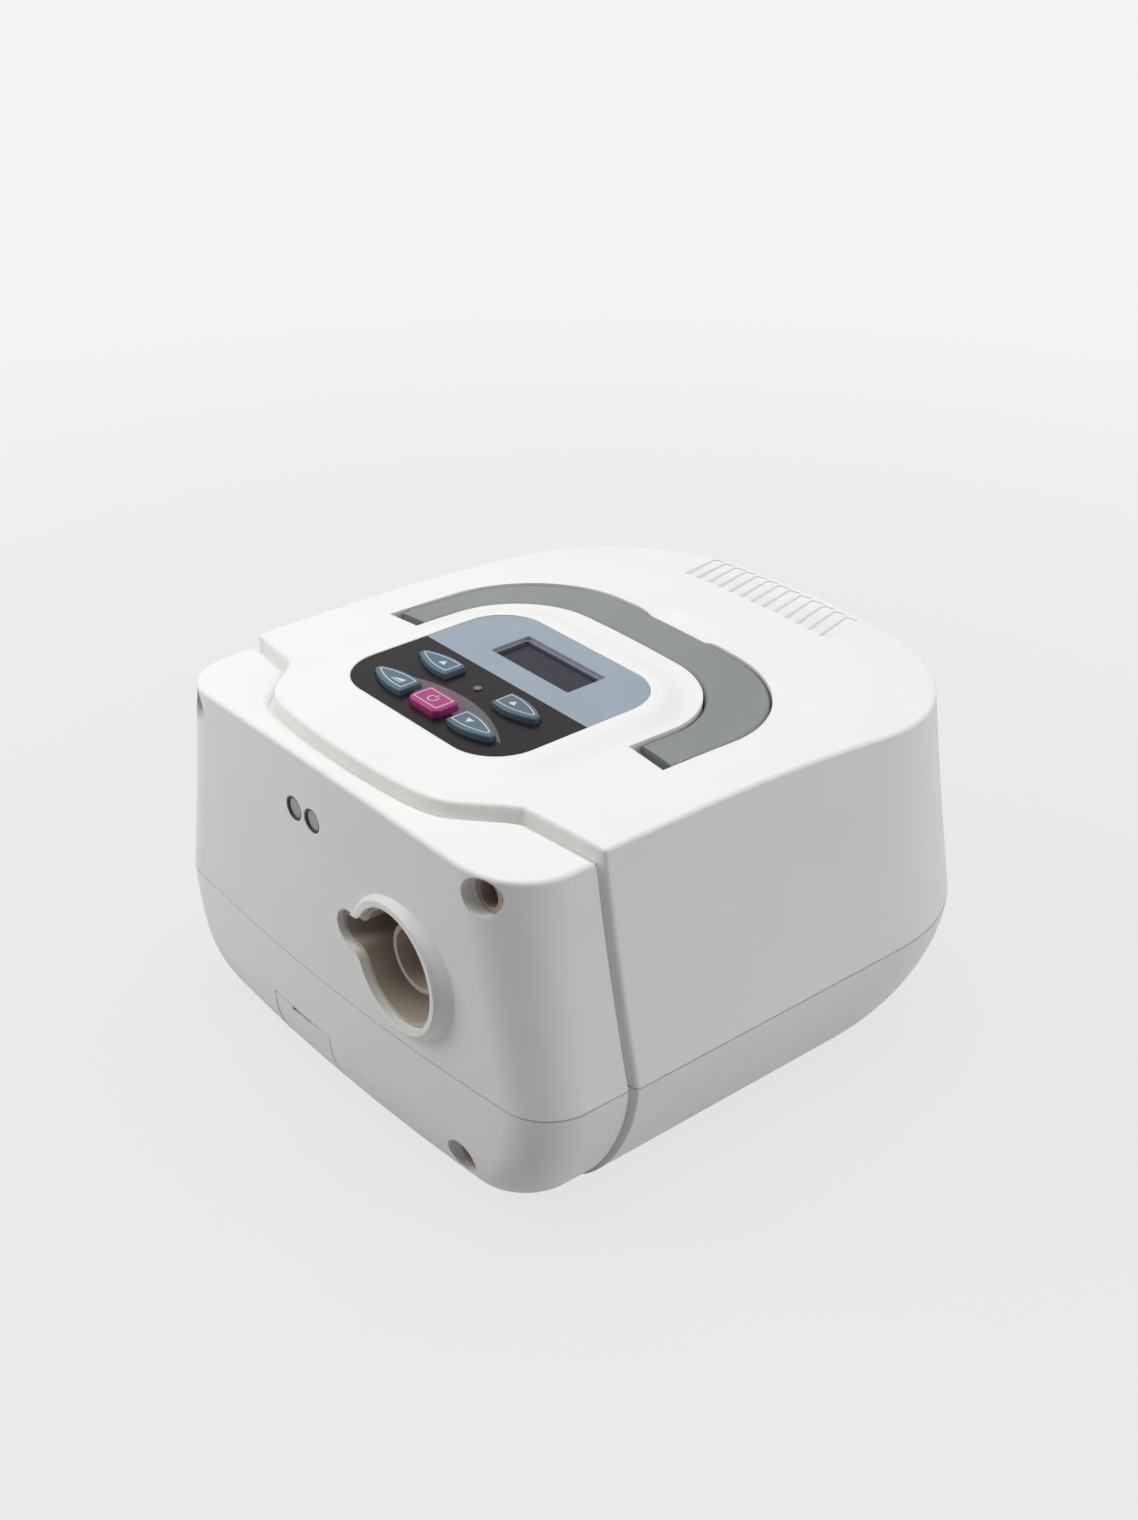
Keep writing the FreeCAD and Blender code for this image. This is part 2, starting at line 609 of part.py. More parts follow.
def keyhole(grow, slot_grow, front, back):
    """Mouth of the air outlet: a round hole with a keyhole slot towards the middle, from front to back."""
    length = float(back) - float(front)
    radius = float(D.mouth_radius) + grow
    slot = float(D.slot_radius) + slot_grow
    end = float(D.slot_reach) - float(D.slot_radius)
    rise = float(D.slot_rise)
    round_part = Part.makeCylinder(radius, length)
    slot_part = Part.makeBox(end, 2 * slot, length, Vector(-end, rise - slot, 0))
    slot_end = Part.makeCylinder(slot, length, Vector(-end, rise, 0))
    mouth = round_part.fuse([slot_part, slot_end]).removeSplitter()
    inner = [edge for edge in mouth.Edges if is_throat(edge, radius, slot)]
    mouth = mouth.makeFillet(float(D.slot_blend), inner)
    mouth.rotate(Vector(0, 0, 0), Vector(1, 0, 0), 90)
    mouth.translate(vec(D.outlet_x, back, D.outlet_z))
    return mouth


def is_throat(edge, radius, slot):
    """Edges along the depth where the slot meets the round mouth."""
    ends = [vertex.Point for vertex in edge.Vertexes]
    if len(ends) != 2 or abs(ends[0].z - ends[1].z) < 1:
        return False
    reach = math.hypot(ends[0].x, ends[0].y)
    return abs(reach - radius) < 0.01 and ends[0].x < 0 and abs(ends[0].y - float(D.slot_rise)) > slot - 0.01


def box_between(x0, x1, y0, y1, z0, z1):
    return Part.makeBox(float(x1) - float(x0), float(y1) - float(y0), float(z1) - float(z0), vec(x0, y0, z0))


def rod_y(radius, x, z, front, back):
    """Round bar along the depth."""
    return Part.makeCylinder(float(radius), float(back) - float(front), vec(x, front, z), Vector(0, 1, 0))


def rod_x(radius, y, z, left, right):
    return Part.makeCylinder(float(radius), float(right) - float(left), vec(left, y, z), Vector(1, 0, 0))


def rod_z(radius, x, y, low, high):
    return Part.makeCylinder(float(radius), float(high) - float(low), vec(x, y, low))


def handle_wire(grow, front_y):
    """U outline of the carrying handle in plan, with its arms towards the front, grown by grow."""
    half = float(D.handle_half) + grow
    back = float(D.handle_back_y) + grow
    corner = float(D.handle_outer_corner) + grow
    in_half = float(D.handle_inner_half) - grow
    in_back = float(D.handle_inner_back_y) - grow
    in_corner = float(D.handle_inner_corner) - grow
    front = float(front_y)

    def corner_arc(side, size, back_y, radius):
        centre = Vector(side * (size - radius), back_y - radius, 0)
        diagonal = Vector(side, 1, 0).normalize() * radius
        return centre + Vector(side * radius, 0, 0), centre + diagonal, centre + Vector(0, radius, 0)

    right = corner_arc(1, half, back, corner)
    left = corner_arc(-1, half, back, corner)
    in_right = corner_arc(1, in_half, in_back, in_corner)
    in_left = corner_arc(-1, in_half, in_back, in_corner)
    return Part.Wire([
        Part.makeLine(Vector(half, front, 0), right[0]),
        Part.Arc(*right).toShape(),
        Part.makeLine(right[2], left[2]),
        Part.Arc(left[2], left[1], left[0]).toShape(),
        Part.makeLine(left[0], Vector(-half, front, 0)),
        Part.makeLine(Vector(-half, front, 0), Vector(-in_half, front, 0)),
        Part.makeLine(Vector(-in_half, front, 0), in_left[0]),
        Part.Arc(*in_left).toShape(),
        Part.makeLine(in_left[2], in_right[2]),
        Part.Arc(in_right[2], in_right[1], in_right[0]).toShape(),
        Part.makeLine(in_right[0], Vector(in_half, front, 0)),
        Part.makeLine(Vector(in_half, front, 0), Vector(half, front, 0)),
    ])


def rounded_box_wire(width, front, back, corner, grow=0.0, middle_x=0.0):
    """Rounded rectangle in plan."""
    half = float(width) / 2 + grow
    low = float(front) - grow
    high = float(back) + grow
    radius = max(0.3, float(corner) + grow)
    points = [(half, low, 1, -1), (half, high, 1, 1), (-half, high, -1, 1), (-half, low, -1, -1)]
    edges = []
    corners = []
    for x, y, sx, sy in points:
        centre = Vector(x - sx * radius, y - sy * radius, 0)
        along_x = centre + Vector(sx * radius, 0, 0)
        along_y = centre + Vector(0, sy * radius, 0)
        middle = centre + Vector(sx, sy, 0).normalize() * radius
        corners.append((along_y, middle, along_x) if sx * sy < 0 else (along_x, middle, along_y))
    for index, (start, middle, end) in enumerate(corners):
        edges.append(Part.Arc(start, middle, end).toShape())
        edges.append(Part.makeLine(end, corners[(index + 1) % 4][0]))
    wire = Part.Wire(edges)
    wire.translate(Vector(float(middle_x), 0, 0))
    return wire


POINTED_KEYS = {
    "left_key": (-1, D.key_front_y),
    "down_key": (1, D.key_front_y),
    "up_key": (-1, D.key_back_y),
    "right_key": (1, D.key_back_y),
}


def pointed_wire(direction, row_y, grow=0.0):
    """Outline of a pointed key: flat end towards the middle, bowed sides, narrow tip; grown by grow."""
    flat = float(D.key_middle_x) + direction * (float(D.key_flat_x) - grow)
    tip = flat + direction * (float(D.key_length) + 2 * grow)
    half = float(D.key_width) / 2 + grow
    tip_half = float(D.key_tip) / 2 + grow
    y = float(row_y)
    chord = Vector(tip - flat, half - tip_half, 0)
    sag = chord.Length ** 2 / (8 * float(D.key_arc))
    middle_x = (flat + tip) / 2
    middle_half = (half + tip_half) / 2 + sag
    return Part.Wire([
        Part.makeLine(Vector(flat, y - half, 0), Vector(flat, y + half, 0)),
        Part.Arc(
            Vector(flat, y + half, 0),
            Vector(middle_x, y + middle_half, 0),
            Vector(tip, y + tip_half, 0)).toShape(),
        Part.makeLine(Vector(tip, y + tip_half, 0), Vector(tip, y - tip_half, 0)),
        Part.Arc(
            Vector(tip, y - tip_half, 0),
            Vector(middle_x, y - middle_half, 0),
            Vector(flat, y - half, 0)).toShape(),
    ])


def power_wire(grow=0.0):
    front = D.key_front_y - D.power_depth / 2
    back = D.key_front_y + D.power_depth / 2
    return rounded_box_wire(D.power_width, front, back, D.power_corner, grow, D.key_middle_x)


def key_openings(grow, low, high):
    """Holes for the five keys and the indicator."""
    holes = [prism(pointed_wire(side, row_y, grow), low, high) for side, row_y in POINTED_KEYS.values()]
    holes.append(prism(power_wire(grow), low, high))
    return holes


FRONT_REACH_Y = D.seam_side_y + 12
FAR = 400.0
ON_TOP = 0.6


def in_front_of(y):
    return box_between(-FAR / 2, FAR / 2, D.front_y - FAR / 4, y, -FAR / 4, FAR / 2)


def edges_on(shape, height):
    """Edges that lie on a height surface."""
    found = []
    for edge in shape.Edges:
        points = edge.discretize(5)
        if all(abs(point.z - height(point.x, point.y)) < ON_TOP for point in points):
            found.append(edge)
    return found


def seam_edges(shape):
    """Edges of the main body that run down its sides beside the groove."""
    found = []
    for edge in shape.Edges:
        points = edge.discretize(5)
        beside = all(abs(point.x) > float(D.body_width) / 2 * 0.7 for point in points)
        upright = abs(points[0].z - points[-1].z) > 5 * abs(points[0].x - points[-1].x)
        at_seam = all(abs(point.y - float(D.seam_side_y)) < 4 for point in points)
        if beside and at_seam and upright:
            found.append(edge)
    return found


def upper_outer():
    """Outside of the upper housing, filled: main body, front section and the core under the groove."""
    heights = upper_heights()
    inset = float(D.section_inset)
    depth = float(D.groove_depth)
    main = loft(heights, 0, 0).common(prism(seam_outline(), -10, FAR / 2)).common(block_under(top_surface))
    main = main.makeFillet(float(D.edge_round), edges_on(main, top_surface) + seam_edges(main))
    section = loft(heights, inset, 0).common(in_front_of(FRONT_REACH_Y)).common(block_under(front_crown))
    section = section.cut(prism(seam_outline(float(D.groove_width)), -10, FAR / 2))
    section = section.makeFillet(float(D.section_round), edges_on(section, front_crown))
    core = loft(heights, inset + depth, depth).common(in_front_of(FRONT_REACH_Y))
    core = core.common(block_under(front_crown, depth))
    return main.fuse([section, core])


def lower_outer():
    """Outside of the lower housing, filled."""
    heights = lower_heights()
    inset = float(D.section_inset)
    depth = float(D.groove_depth)
    main = loft(heights, 0, 0).common(prism(seam_outline(), -10, FAR / 2))
    section = loft(heights, inset, 0).common(in_front_of(FRONT_REACH_Y))
    section = section.cut(prism(seam_outline(float(D.groove_width)), -10, FAR / 2))
    section = section.common(above(D.foot_height + D.section_inset / 2))
    core = loft(heights, inset + depth, depth).common(in_front_of(FRONT_REACH_Y))
    core = core.common(above(D.foot_height + D.section_inset / 2 + D.groove_depth))
    return main.fuse([section, core])


def above(z):
    """Everything above height z, as far as the casing reaches."""
    return box_between(-FAR / 2, FAR / 2, -FAR / 2, FAR / 2, z, FAR)


# ---------------------------------------------------------------- building the document

PIECES = []


def tie(obj, prop, size):
    """Bind a property to the sheet, or set it where the size is a plain number."""
    if isinstance(size, Size):
        obj.setExpression(prop, size.text)
    else:
        target = obj
        names = prop.split(".")
        if len(names) == 1:
            setattr(target, prop, size)
        else:
            place = obj.Placement
            base = {"x": place.Base.x, "y": place.Base.y, "z": place.Base.z}
            base[names[-1]] = float(size)
            obj.Placement = Placement(Vector(base["x"], base["y"], base["z"]), place.Rotation)


def put(obj, x=0.0, y=0.0, z=0.0, turn=None):
    """Place an object; each coordinate may be a size of the sheet."""
    obj.Placement = Placement(Vector(), turn or Rotation())
    for axis, size in (("x", x), ("y", y), ("z", z)):
        tie(obj, f"Placement.Base.{axis}", size)
    return obj


TURNS = {
    "x": Rotation(Vector(0, 1, 0), 90),
    "y": Rotation(Vector(1, 0, 0), -90),
    "z": Rotation(),
}


def block(name, x0, x1, y0, y1, z0, z1):
    """Box between sizes of the sheet."""
    box = doc.addObject("Part::Box", name)
    for prop, low, high in (("Length", x0, x1), ("Width", y0, y1), ("Height", z0, z1)):
        tie(box, prop, high - low)
    return put(box, x0, y0, z0)


def rod(name, radius, length, x, y, z, along="z"):
    """Cylinder that starts at a point and runs along an axis."""
    cylinder = doc.addObject("Part::Cylinder", name)
    tie(cylinder, "Radius", radius)
    tie(cylinder, "Height", length)
    return put(cylinder, x, y, z, TURNS[along])


def cone(name, start_radius, end_radius, length, x, y, z, along="z"):
    """Cone from one radius to another along an axis."""
    taper = doc.addObject("Part::Cone", name)
    tie(taper, "Radius1", start_radius)
    tie(taper, "Radius2", end_radius)
    tie(taper, "Height", length)
    return put(taper, x, y, z, TURNS[along])


def joined(name, *parts):
    fuse = doc.addObject("Part::MultiFuse", name)
    fuse.Shapes = list(parts)
    fuse.Refine = True
    return fuse


def cut(name, base, *tools):
    tool = tools[0] if len(tools) == 1 else joined(f"{name}_tool", *tools)
    result = doc.addObject("Part::Cut", name)
    result.Base = base
    result.Tool = tool
    result.Refine = True
    return result


def group(name, *parts):
    """Identical separate pieces kept together."""
    compound = doc.addObject("Part::Compound", name)
    compound.Links = list(parts)
    return compound


def shaped(name, shape):
    """A piece whose form is worked out above from the sheet."""
    feature = doc.addObject("Part::Feature", name)
    feature.Shape = shape
    feature.Placement = Placement()
    return feature


def piece(obj, label):
    obj.Label = label
    PIECES.append(obj)
    return obj


def new_body(name):
    return doc.addObject("PartDesign::Body", name)


def sketch_on(body, name, role="XY_Plane", height=0.0):
    """Sketch on one of the body's own origin planes, raised by height."""
    sketch = body.newObject("Sketcher::SketchObject", name)
    plane = next(feature for feature in body.Origin.OriginFeatures if feature.Role == role)
    sketch.AttachmentSupport = (plane, [""])
    sketch.MapMode = "FlatFace"
    if isinstance(height, Size):
        sketch.setExpression("AttachmentOffset.Base.z", height.text)
    elif height:
        sketch.AttachmentOffset = Placement(Vector(0, 0, height), Rotation())
    return sketch


def fix(sketch, kind, name, size, *geometry):
    """Add a dimension to a sketch and bind it to the sheet."""
    index = sketch.addConstraint(Sketcher.Constraint(kind, *geometry, float(size)))
    sketch.renameConstraint(index, name)
    if isinstance(size, Size):
        sketch.setExpression(f"Constraints.{name}", size.text)


def draw_circle(sketch, radius, x=0.0, y=0.0, name="circle"):
    index = sketch.addGeometry(Part.Circle(vec(x, y, 0), Vector(0, 0, 1), float(radius)), False)
    fix(sketch, "Radius", f"{name}_radius", radius, index)
    fix(sketch, "DistanceX", f"{name}_x", x, -1, 1, index, 3)
    fix(sketch, "DistanceY", f"{name}_y", y, -1, 1, index, 3)


def draw_rounded(sketch, width, depth, corner, name="plate"):
    """Rounded rectangle about the sketch's origin, held by width, depth and corner."""
    half_w, half_d, radius = float(width) / 2, float(depth) / 2, float(corner)
    turns = [(1, -1, -90), (1, 1, 0), (-1, 1, 90), (-1, -1, 180)]
    arcs = []
    for sx, sy, start in turns:
        centre = Vector(sx * (half_w - radius), sy * (half_d - radius), 0)
        circle = Part.Circle(centre, Vector(0, 0, 1), radius)
        arc = Part.ArcOfCircle(circle, math.radians(start), math.radians(start + 90))
        arcs.append(sketch.addGeometry(arc, False))
    lines = []
    for index, arc in enumerate(arcs):
        after = arcs[(index + 1) % 4]
        start = sketch.Geometry[arc].EndPoint
        end = sketch.Geometry[after].StartPoint
        line = sketch.addGeometry(Part.LineSegment(start, end), False)
        lines.append(line)
        sketch.addConstraint(Sketcher.Constraint("Tangent", arc, 2, line, 1))
        sketch.addConstraint(Sketcher.Constraint("Tangent", line, 2, after, 1))
    right, back, left, front = lines
    for line in (right, left):
        sketch.addConstraint(Sketcher.Constraint("Vertical", line))
    for line in (back, front):
        sketch.addConstraint(Sketcher.Constraint("Horizontal", line))
    for arc in arcs[1:]:
        sketch.addConstraint(Sketcher.Constraint("Equal", arcs[0], arc))
    fix(sketch, "Radius", f"{name}_corner", corner, arcs[0])
    fix(sketch, "DistanceX", f"{name}_width", width, left, 1, right, 1)
    fix(sketch, "DistanceY", f"{name}_depth", depth, front, 1, back, 1)
    fix(sketch, "DistanceX", f"{name}_half_width", width / 2, -1, 1, right, 1)
    fix(sketch, "DistanceY", f"{name}_half_depth", depth / 2, -1, 1, back, 1)


def draw_pointed(sketch, length, width, tip, bend, name="key"):
    """Key outline: flat end on the sketch's Y axis, bowed sides, narrow tip towards +X."""
    reach, half, tip_half = float(length), float(width) / 2, float(tip) / 2
    low, high = Vector(0, -half, 0), Vector(0, half, 0)
    tip_low, tip_high = Vector(reach, -tip_half, 0), Vector(reach, tip_half, 0)
    chord = tip_high - high
    sag = chord.Length ** 2 / (8 * float(bend))
    middle = (high + tip_high) * 0.5 + Vector(0, sag, 0)
    lower_middle = Vector(middle.x, -middle.y, 0)
    flat = sketch.addGeometry(Part.LineSegment(low, high), False)
    upper = sketch.addGeometry(Part.Arc(high, middle, tip_high), False)
    end = sketch.addGeometry(Part.LineSegment(tip_high, tip_low), False)
    lower = sketch.addGeometry(Part.Arc(tip_low, lower_middle, low), False)
    # an arc keeps its points counter-clockwise, so the upper one runs from the tip to the flat end
    for first, first_end, second, second_end in (
        (flat, 2, upper, 2), (upper, 1, end, 1), (end, 2, lower, 2), (lower, 1, flat, 1),
    ):
        sketch.addConstraint(Sketcher.Constraint("Coincident", first, first_end, second, second_end))
    fix(sketch, "Radius", f"{name}_upper_bend", bend, upper)
    fix(sketch, "Radius", f"{name}_lower_bend", bend, lower)
    for which, index, point, x, y in (
        ("flat_low", flat, 1, 0.0, -width / 2), ("flat_high", flat, 2, 0.0, width / 2),
        ("tip_high", end, 1, length, tip / 2), ("tip_low", end, 2, length, -tip / 2),
    ):
        fix(sketch, "DistanceX", f"{name}_{which}_x", x, -1, 1, index, point)
        fix(sketch, "DistanceY", f"{name}_{which}_y", y, -1, 1, index, point)


def pad(body, sketch, length, name, downward=False):
    feature = body.newObject("PartDesign::Pad", name)
    feature.Profile = sketch
    tie(feature, "Length", length)
    feature.Reversed = downward
    body.Tip = feature
    return feature


def plate(name, width, depth, corner, thick, x, y, z):
    """Flat rounded plate, its middle at x, y and its underside at z."""
    body = new_body(name)
    sketch = sketch_on(body, f"{name}_outline")
    draw_rounded(sketch, width, depth, corner)
    pad(body, sketch, thick, f"{name}_pad")
    return put(body, x, y, z)


# ---------------------------------------------------------------- casing

def upper_cavity():
    """Hollow of the upper housing."""
    heights = upper_heights()
    wall = float(D.wall_side)
    front_wall = wall + 0.1
    behind = float(D.section_inset) + float(D.groove_depth) + 1.8
    main = loft(heights, wall, front_wall).common(prism(seam_outline(-front_wall), -10, FAR / 2))
    main = main.common(block_under(inner_top, float(D.wall_top)))
    section = loft(heights, behind, front_wall).common(in_front_of(FRONT_REACH_Y))
    section = section.common(block_under(front_crown, float(D.groove_depth) + 1.8))
    return main.fuse(section)


def lower_cavity():
    """Hollow of the lower housing."""
    heights = lower_heights()
    wall = float(D.wall_side)
    front_wall = wall + 0.1
    behind = float(D.section_inset) + float(D.groove_depth) + 1.8
    lift = wall
    main = loft(heights, wall, front_wall, lift).common(prism(seam_outline(-front_wall - 1.5), -10, FAR / 2))
    section = loft(heights, behind, front_wall, lift).common(in_front_of(FRONT_REACH_Y))
    section = section.common(above(D.foot_height + D.section_inset / 2 + D.groove_depth + 1.8))
    return main.fuse(section)


PIN_Y = D.handle_front_y + D.pin_setback
ON_FACE = 0.35
OPENING_GAP = 0.1
SKIRT = 3.4
COLLAR_BACK_Y = D.front_y + 6
UNDER_TOP_Z = CONTROL_Z - 10


def pin_height():
    """Height of the handle pin: the middle of the arm's thickness."""
    arm_x = (float(D.handle_half) + float(D.handle_inner_half)) / 2
    return crown(arm_x, float(PIN_Y)) - float(D.handle_sink) - float(D.handle_thick) / 2


def collar_slope():
    """How far the collar's face leans back per millimetre towards the slot's end."""
    return (float(D.collar_proud) - ON_FACE) / (float(D.slot_reach) + float(D.mouth_radius))


def before_collar(set_back):
    """Everything in front of the collar's leaning face, moved back by set_back."""
    slab = Part.makeBox(FAR, FAR, FAR, Vector(-FAR / 2, -FAR, -FAR / 2))
    slab.rotate(Vector(0, 0, 0), Vector(0, 0, 1), -math.degrees(math.atan(collar_slope())))
    slab.translate(vec(D.outlet_x - D.slot_reach, D.front_y - ON_FACE + set_back, 0))
    return slab


def collar():
    """Collar around the air outlet: its face leans back towards the keyhole slot's end."""
    slot_wall = float(D.liner_wall) + OPENING_GAP
    ring = keyhole(float(D.collar_wall), slot_wall, D.front_y - D.collar_proud - 2, COLLAR_BACK_Y)
    skirt_radius = float(D.mouth_radius) + float(D.collar_wall)
    foot = vec(D.outlet_x, D.front_y + 2.2, D.outlet_z)
    skirt = Part.makeCone(skirt_radius + SKIRT, skirt_radius, SKIRT, foot, Vector(0, -1, 0))
    return ring.fuse(skirt).cut(before_collar(0))


UPPER_WELLS = [(-D.well_high_x, D.well_high_z), (D.well_high_x, D.well_high_z)]
LOWER_WELLS = [(D.well_low_x, D.well_low_z)]
WELL_FLOOR_Y = D.well_end_y + D.well_wall


def well_bosses(places, outer):
    """Walls around the screw wells of the front."""
    radius = D.well_radius + D.well_wall
    return [rod_y(radius, x, z, D.front_y - 3, WELL_FLOOR_Y).common(outer) for x, z in places]


def screw_wells(places):
    """Stepped wells with a screw's hole at the bottom."""
    holes = []
    for x, z in places:
        holes.append(rod_y(D.well_radius, x, z, D.front_y - 5, D.well_ledge_y + D.bushing_collar))
        holes.append(rod_y(D.well_shaft, x, z, D.front_y, D.well_end_y))
        holes.append(rod_y(D.screw_radius + D.pin_fit, x, z, D.front_y, WELL_FLOOR_Y + 1))
    return holes


SCREW_PLACES = [
    (side * x, y)
    for x, y in ((D.screw_front_x, D.screw_front_y), (D.screw_rear_x, D.screw_rear_y))
    for side in (-1, 1)
]
CONTROL_POSTS = [
    (side * D.control_post_x, y)
    for y in (D.control_post_front_y, D.control_post_back_y)
    for side in (-1, 1)
]
BASE_POSTS = [
    (side * x, y)
    for side in (-1, 1)
    for x in (D.base_board_near_x + 5, D.base_board_far_x - 5)
    for y in (D.base_board_front_y + 5, D.base_board_back_y - 14)
]
MOUNT_PLACES = [
    (x_side * D.mount_x, D.blower_y + y_side * D.mount_x)
    for x_side in (-1, 1)
    for y_side in (-1, 1)
]
FOOT_PLACES = [
    (side * x, y)
    for x, y in ((D.foot_front_x, D.foot_front_y), (D.foot_rear_x, D.foot_rear_y))
    for side in (-1, 1)
]


def vent_floor(x, y):
    """Height of the grooves' floor, which comes up towards the back."""
    along = (y - float(D.vent_middle_y)) / (2 * float(D.vent_half)) + 0.5
    along = min(1.3, max(-0.3, along))
    return crown(x, y) - float(D.vent_deep) + along * float(D.vent_deep - D.vent_shallow)


def vent_grooves():
    """Row of slanted blind grooves in the top."""
    first = D.vent_middle_x - D.vent_pitch * (D.vent_count - 1) / 2
    half = D.vent_width / 2
    grooves = []
    for index in range(int(float(D.vent_count))):
        groove = box_between(-half, half, -D.vent_half, D.vent_half, D.crown_z - 20, D.crown_z + 10)
        groove.rotate(Vector(0, 0, 0), Vector(0, 0, 1), float(D.vent_lean))
        groove.translate(vec(first + D.vent_pitch * index, D.vent_middle_y, 0))
        grooves.append(groove)
    return [Part.makeCompound(grooves).cut(block_under(vent_floor))]


def trough_solid(grow, low, high):
    """Handle's trough, between two depths below the arched top."""
    outline = handle_wire(grow, D.trough_front_y - (grow - float(D.handle_gap)))
    solid = prism(outline, 60, D.crown_z + 10)
    return solid.common(block_under(crown, low)).cut(block_under(crown, high))


def upper_housing_shape():
    outer = upper_outer()
    trough_low = float(D.trough_depth + D.trough_wall)
    trough_outer = trough_solid(float(D.handle_gap + D.trough_wall), 1.0, trough_low).common(outer)
    opening = float(D.liner_wall) + OPENING_GAP
    panel = (D.panel_width, D.panel_front_y, D.panel_back_y, D.panel_corner)
    window = (D.window_width, D.window_front_y, D.window_back_y, D.window_corner)
    hollow = upper_cavity()
    shell = outer.cut(hollow)
    inside_posts = []
    for x, y in SCREW_PLACES:
        inside_posts.append(rod_z(D.screw_post, x, y, D.parting_z, D.crown_z).common(outer))
    for x, y in CONTROL_POSTS:
        inside_posts.append(rod_z(D.post_radius, x, y, CONTROL_Z + D.board_thick, D.crown_z).common(outer))
    half_seat = D.inlet_width / 2 + D.inner_wall
    seat = box_between(
        D.inlet_x - half_seat, D.inlet_x + half_seat, D.seat_y - D.wall_side, D.back_y,
        D.inlet_low_z - D.inner_wall, D.inlet_high_z + D.inner_wall)
    extras = [trough_outer, collar(), seat.common(outer)]
    shell = shell.fuse(extras + inside_posts + well_bosses(UPPER_WELLS, outer))
    above_floor = PANEL_Z - D.panel_recess
    cuts = [
        prism(rounded_box_wire(*panel), above_floor, FAR / 2),
        prism(rounded_box_wire(*window), UNDER_TOP_Z, FAR / 2),
        prism(
            rounded_box_wire(*window, float(D.window_rim + D.overlay_gap)),
            above_floor - D.window_thick, FAR / 2),
        rod_z(D.light_radius + OPENING_GAP, D.key_middle_x, D.light_y, UNDER_TOP_Z, FAR / 2),
        trough_solid(float(D.handle_gap), -20, float(D.trough_depth)),
        rod_x(D.pin_radius + D.pin_fit, PIN_Y, pin_height(), -D.handle_half - 3.2, D.handle_half + 3.2),
        keyhole(opening, opening, D.front_y - 10, D.front_y + 10),
        box_between(-FAR, FAR, -FAR, FAR, 0, D.parting_z + D.parting_gap / 2),
    ]
    cuts += key_openings(float(D.key_gap), UNDER_TOP_Z, FAR / 2)
    cuts += screw_wells(UPPER_WELLS)
    for x in (D.contact_left_x, D.contact_right_x):
        cuts.append(rod_y(D.bezel_radius + 0.05, x, D.contact_z, D.front_y - 2, D.front_y + 9))
    cuts += vent_grooves()
    for x, y in SCREW_PLACES:
        cuts.append(rod_z(D.screw_radius + D.pin_fit, x, y, 0, D.screw_seat_z + D.screw_length + 2))
    for x, y in CONTROL_POSTS:
        cuts.append(rod_z(D.board_screw + D.pin_fit, x, y, UNDER_TOP_Z, CONTROL_Z + 8))
    cuts += back_openings()
    return shell.cut(cuts)


def around(x, half_width, front, back, z, half_height):
    """Box about a point of the back wall, from front to back."""
    return box_between(x - half_width, x + half_width, front, back, z - half_height, z + half_height)


def back_openings():
    """Openings in the back wall: filter cap, power inlet with its seat, and data port."""
    front, back = D.back_y - 14, D.back_y + 10
    inlet_z = (D.inlet_low_z + D.inlet_high_z) / 2
    inlet_half = (D.inlet_high_z - D.inlet_low_z) / 2
    flange_gap = D.drawer_gap
    return [
        around(
            D.filter_x, D.cap_width / 2 + D.cap_gap, front, back, D.filter_z, D.cap_height / 2 + D.cap_gap),
        around(D.inlet_x, D.inlet_width / 2 + flange_gap, D.seat_y, back, inlet_z, inlet_half + flange_gap),
        around(D.inlet_x, D.inlet_width / 2 - 1.9, front, back, inlet_z, inlet_half - 1.9),
        around(D.port_x, D.port_side / 2 + D.pin_fit, front, back, D.port_z, D.port_side / 2 + D.pin_fit),
    ]


def door_block(grow, grow_low):
    """Extent of the card door on the front."""
    return box_between(
        D.door_left_x - grow, D.door_right_x + grow, D.front_y - 10, D.front_y + 12,
        D.door_low_z - grow_low, D.door_high_z + grow)


def door_wedge():
    """Gap at the card door's left edge, which widens towards the bottom."""
    left = float(D.door_left_x - D.door_gap)
    low = float(D.door_low_z - D.door_swing_gap)
    front = float(D.front_y) - 10
    corners = [(left + 0.1, float(D.door_high_z)), (left + 0.1, low), (left - float(D.door_wedge), low)]
    face = Part.Face(Part.makePolygon([Vector(x, front, z) for x, z in corners + corners[:1]]))
    return face.extrude(Vector(0, 22, 0))


def front_surface_at(z):
    """Depth of the front face at height z, on the card door's middle."""
    middle = (float(D.door_left_x) + float(D.door_right_x)) / 2
    return front_at(z) + middle * middle / (2 * float(D.front_bow))


def door_axis():
    """Hinge axis of the card door: depth and height."""
    z = float(D.door_low_z + D.door_barrel) + 0.1
    return front_surface_at(z) + float(D.door_barrel) + 0.3, z


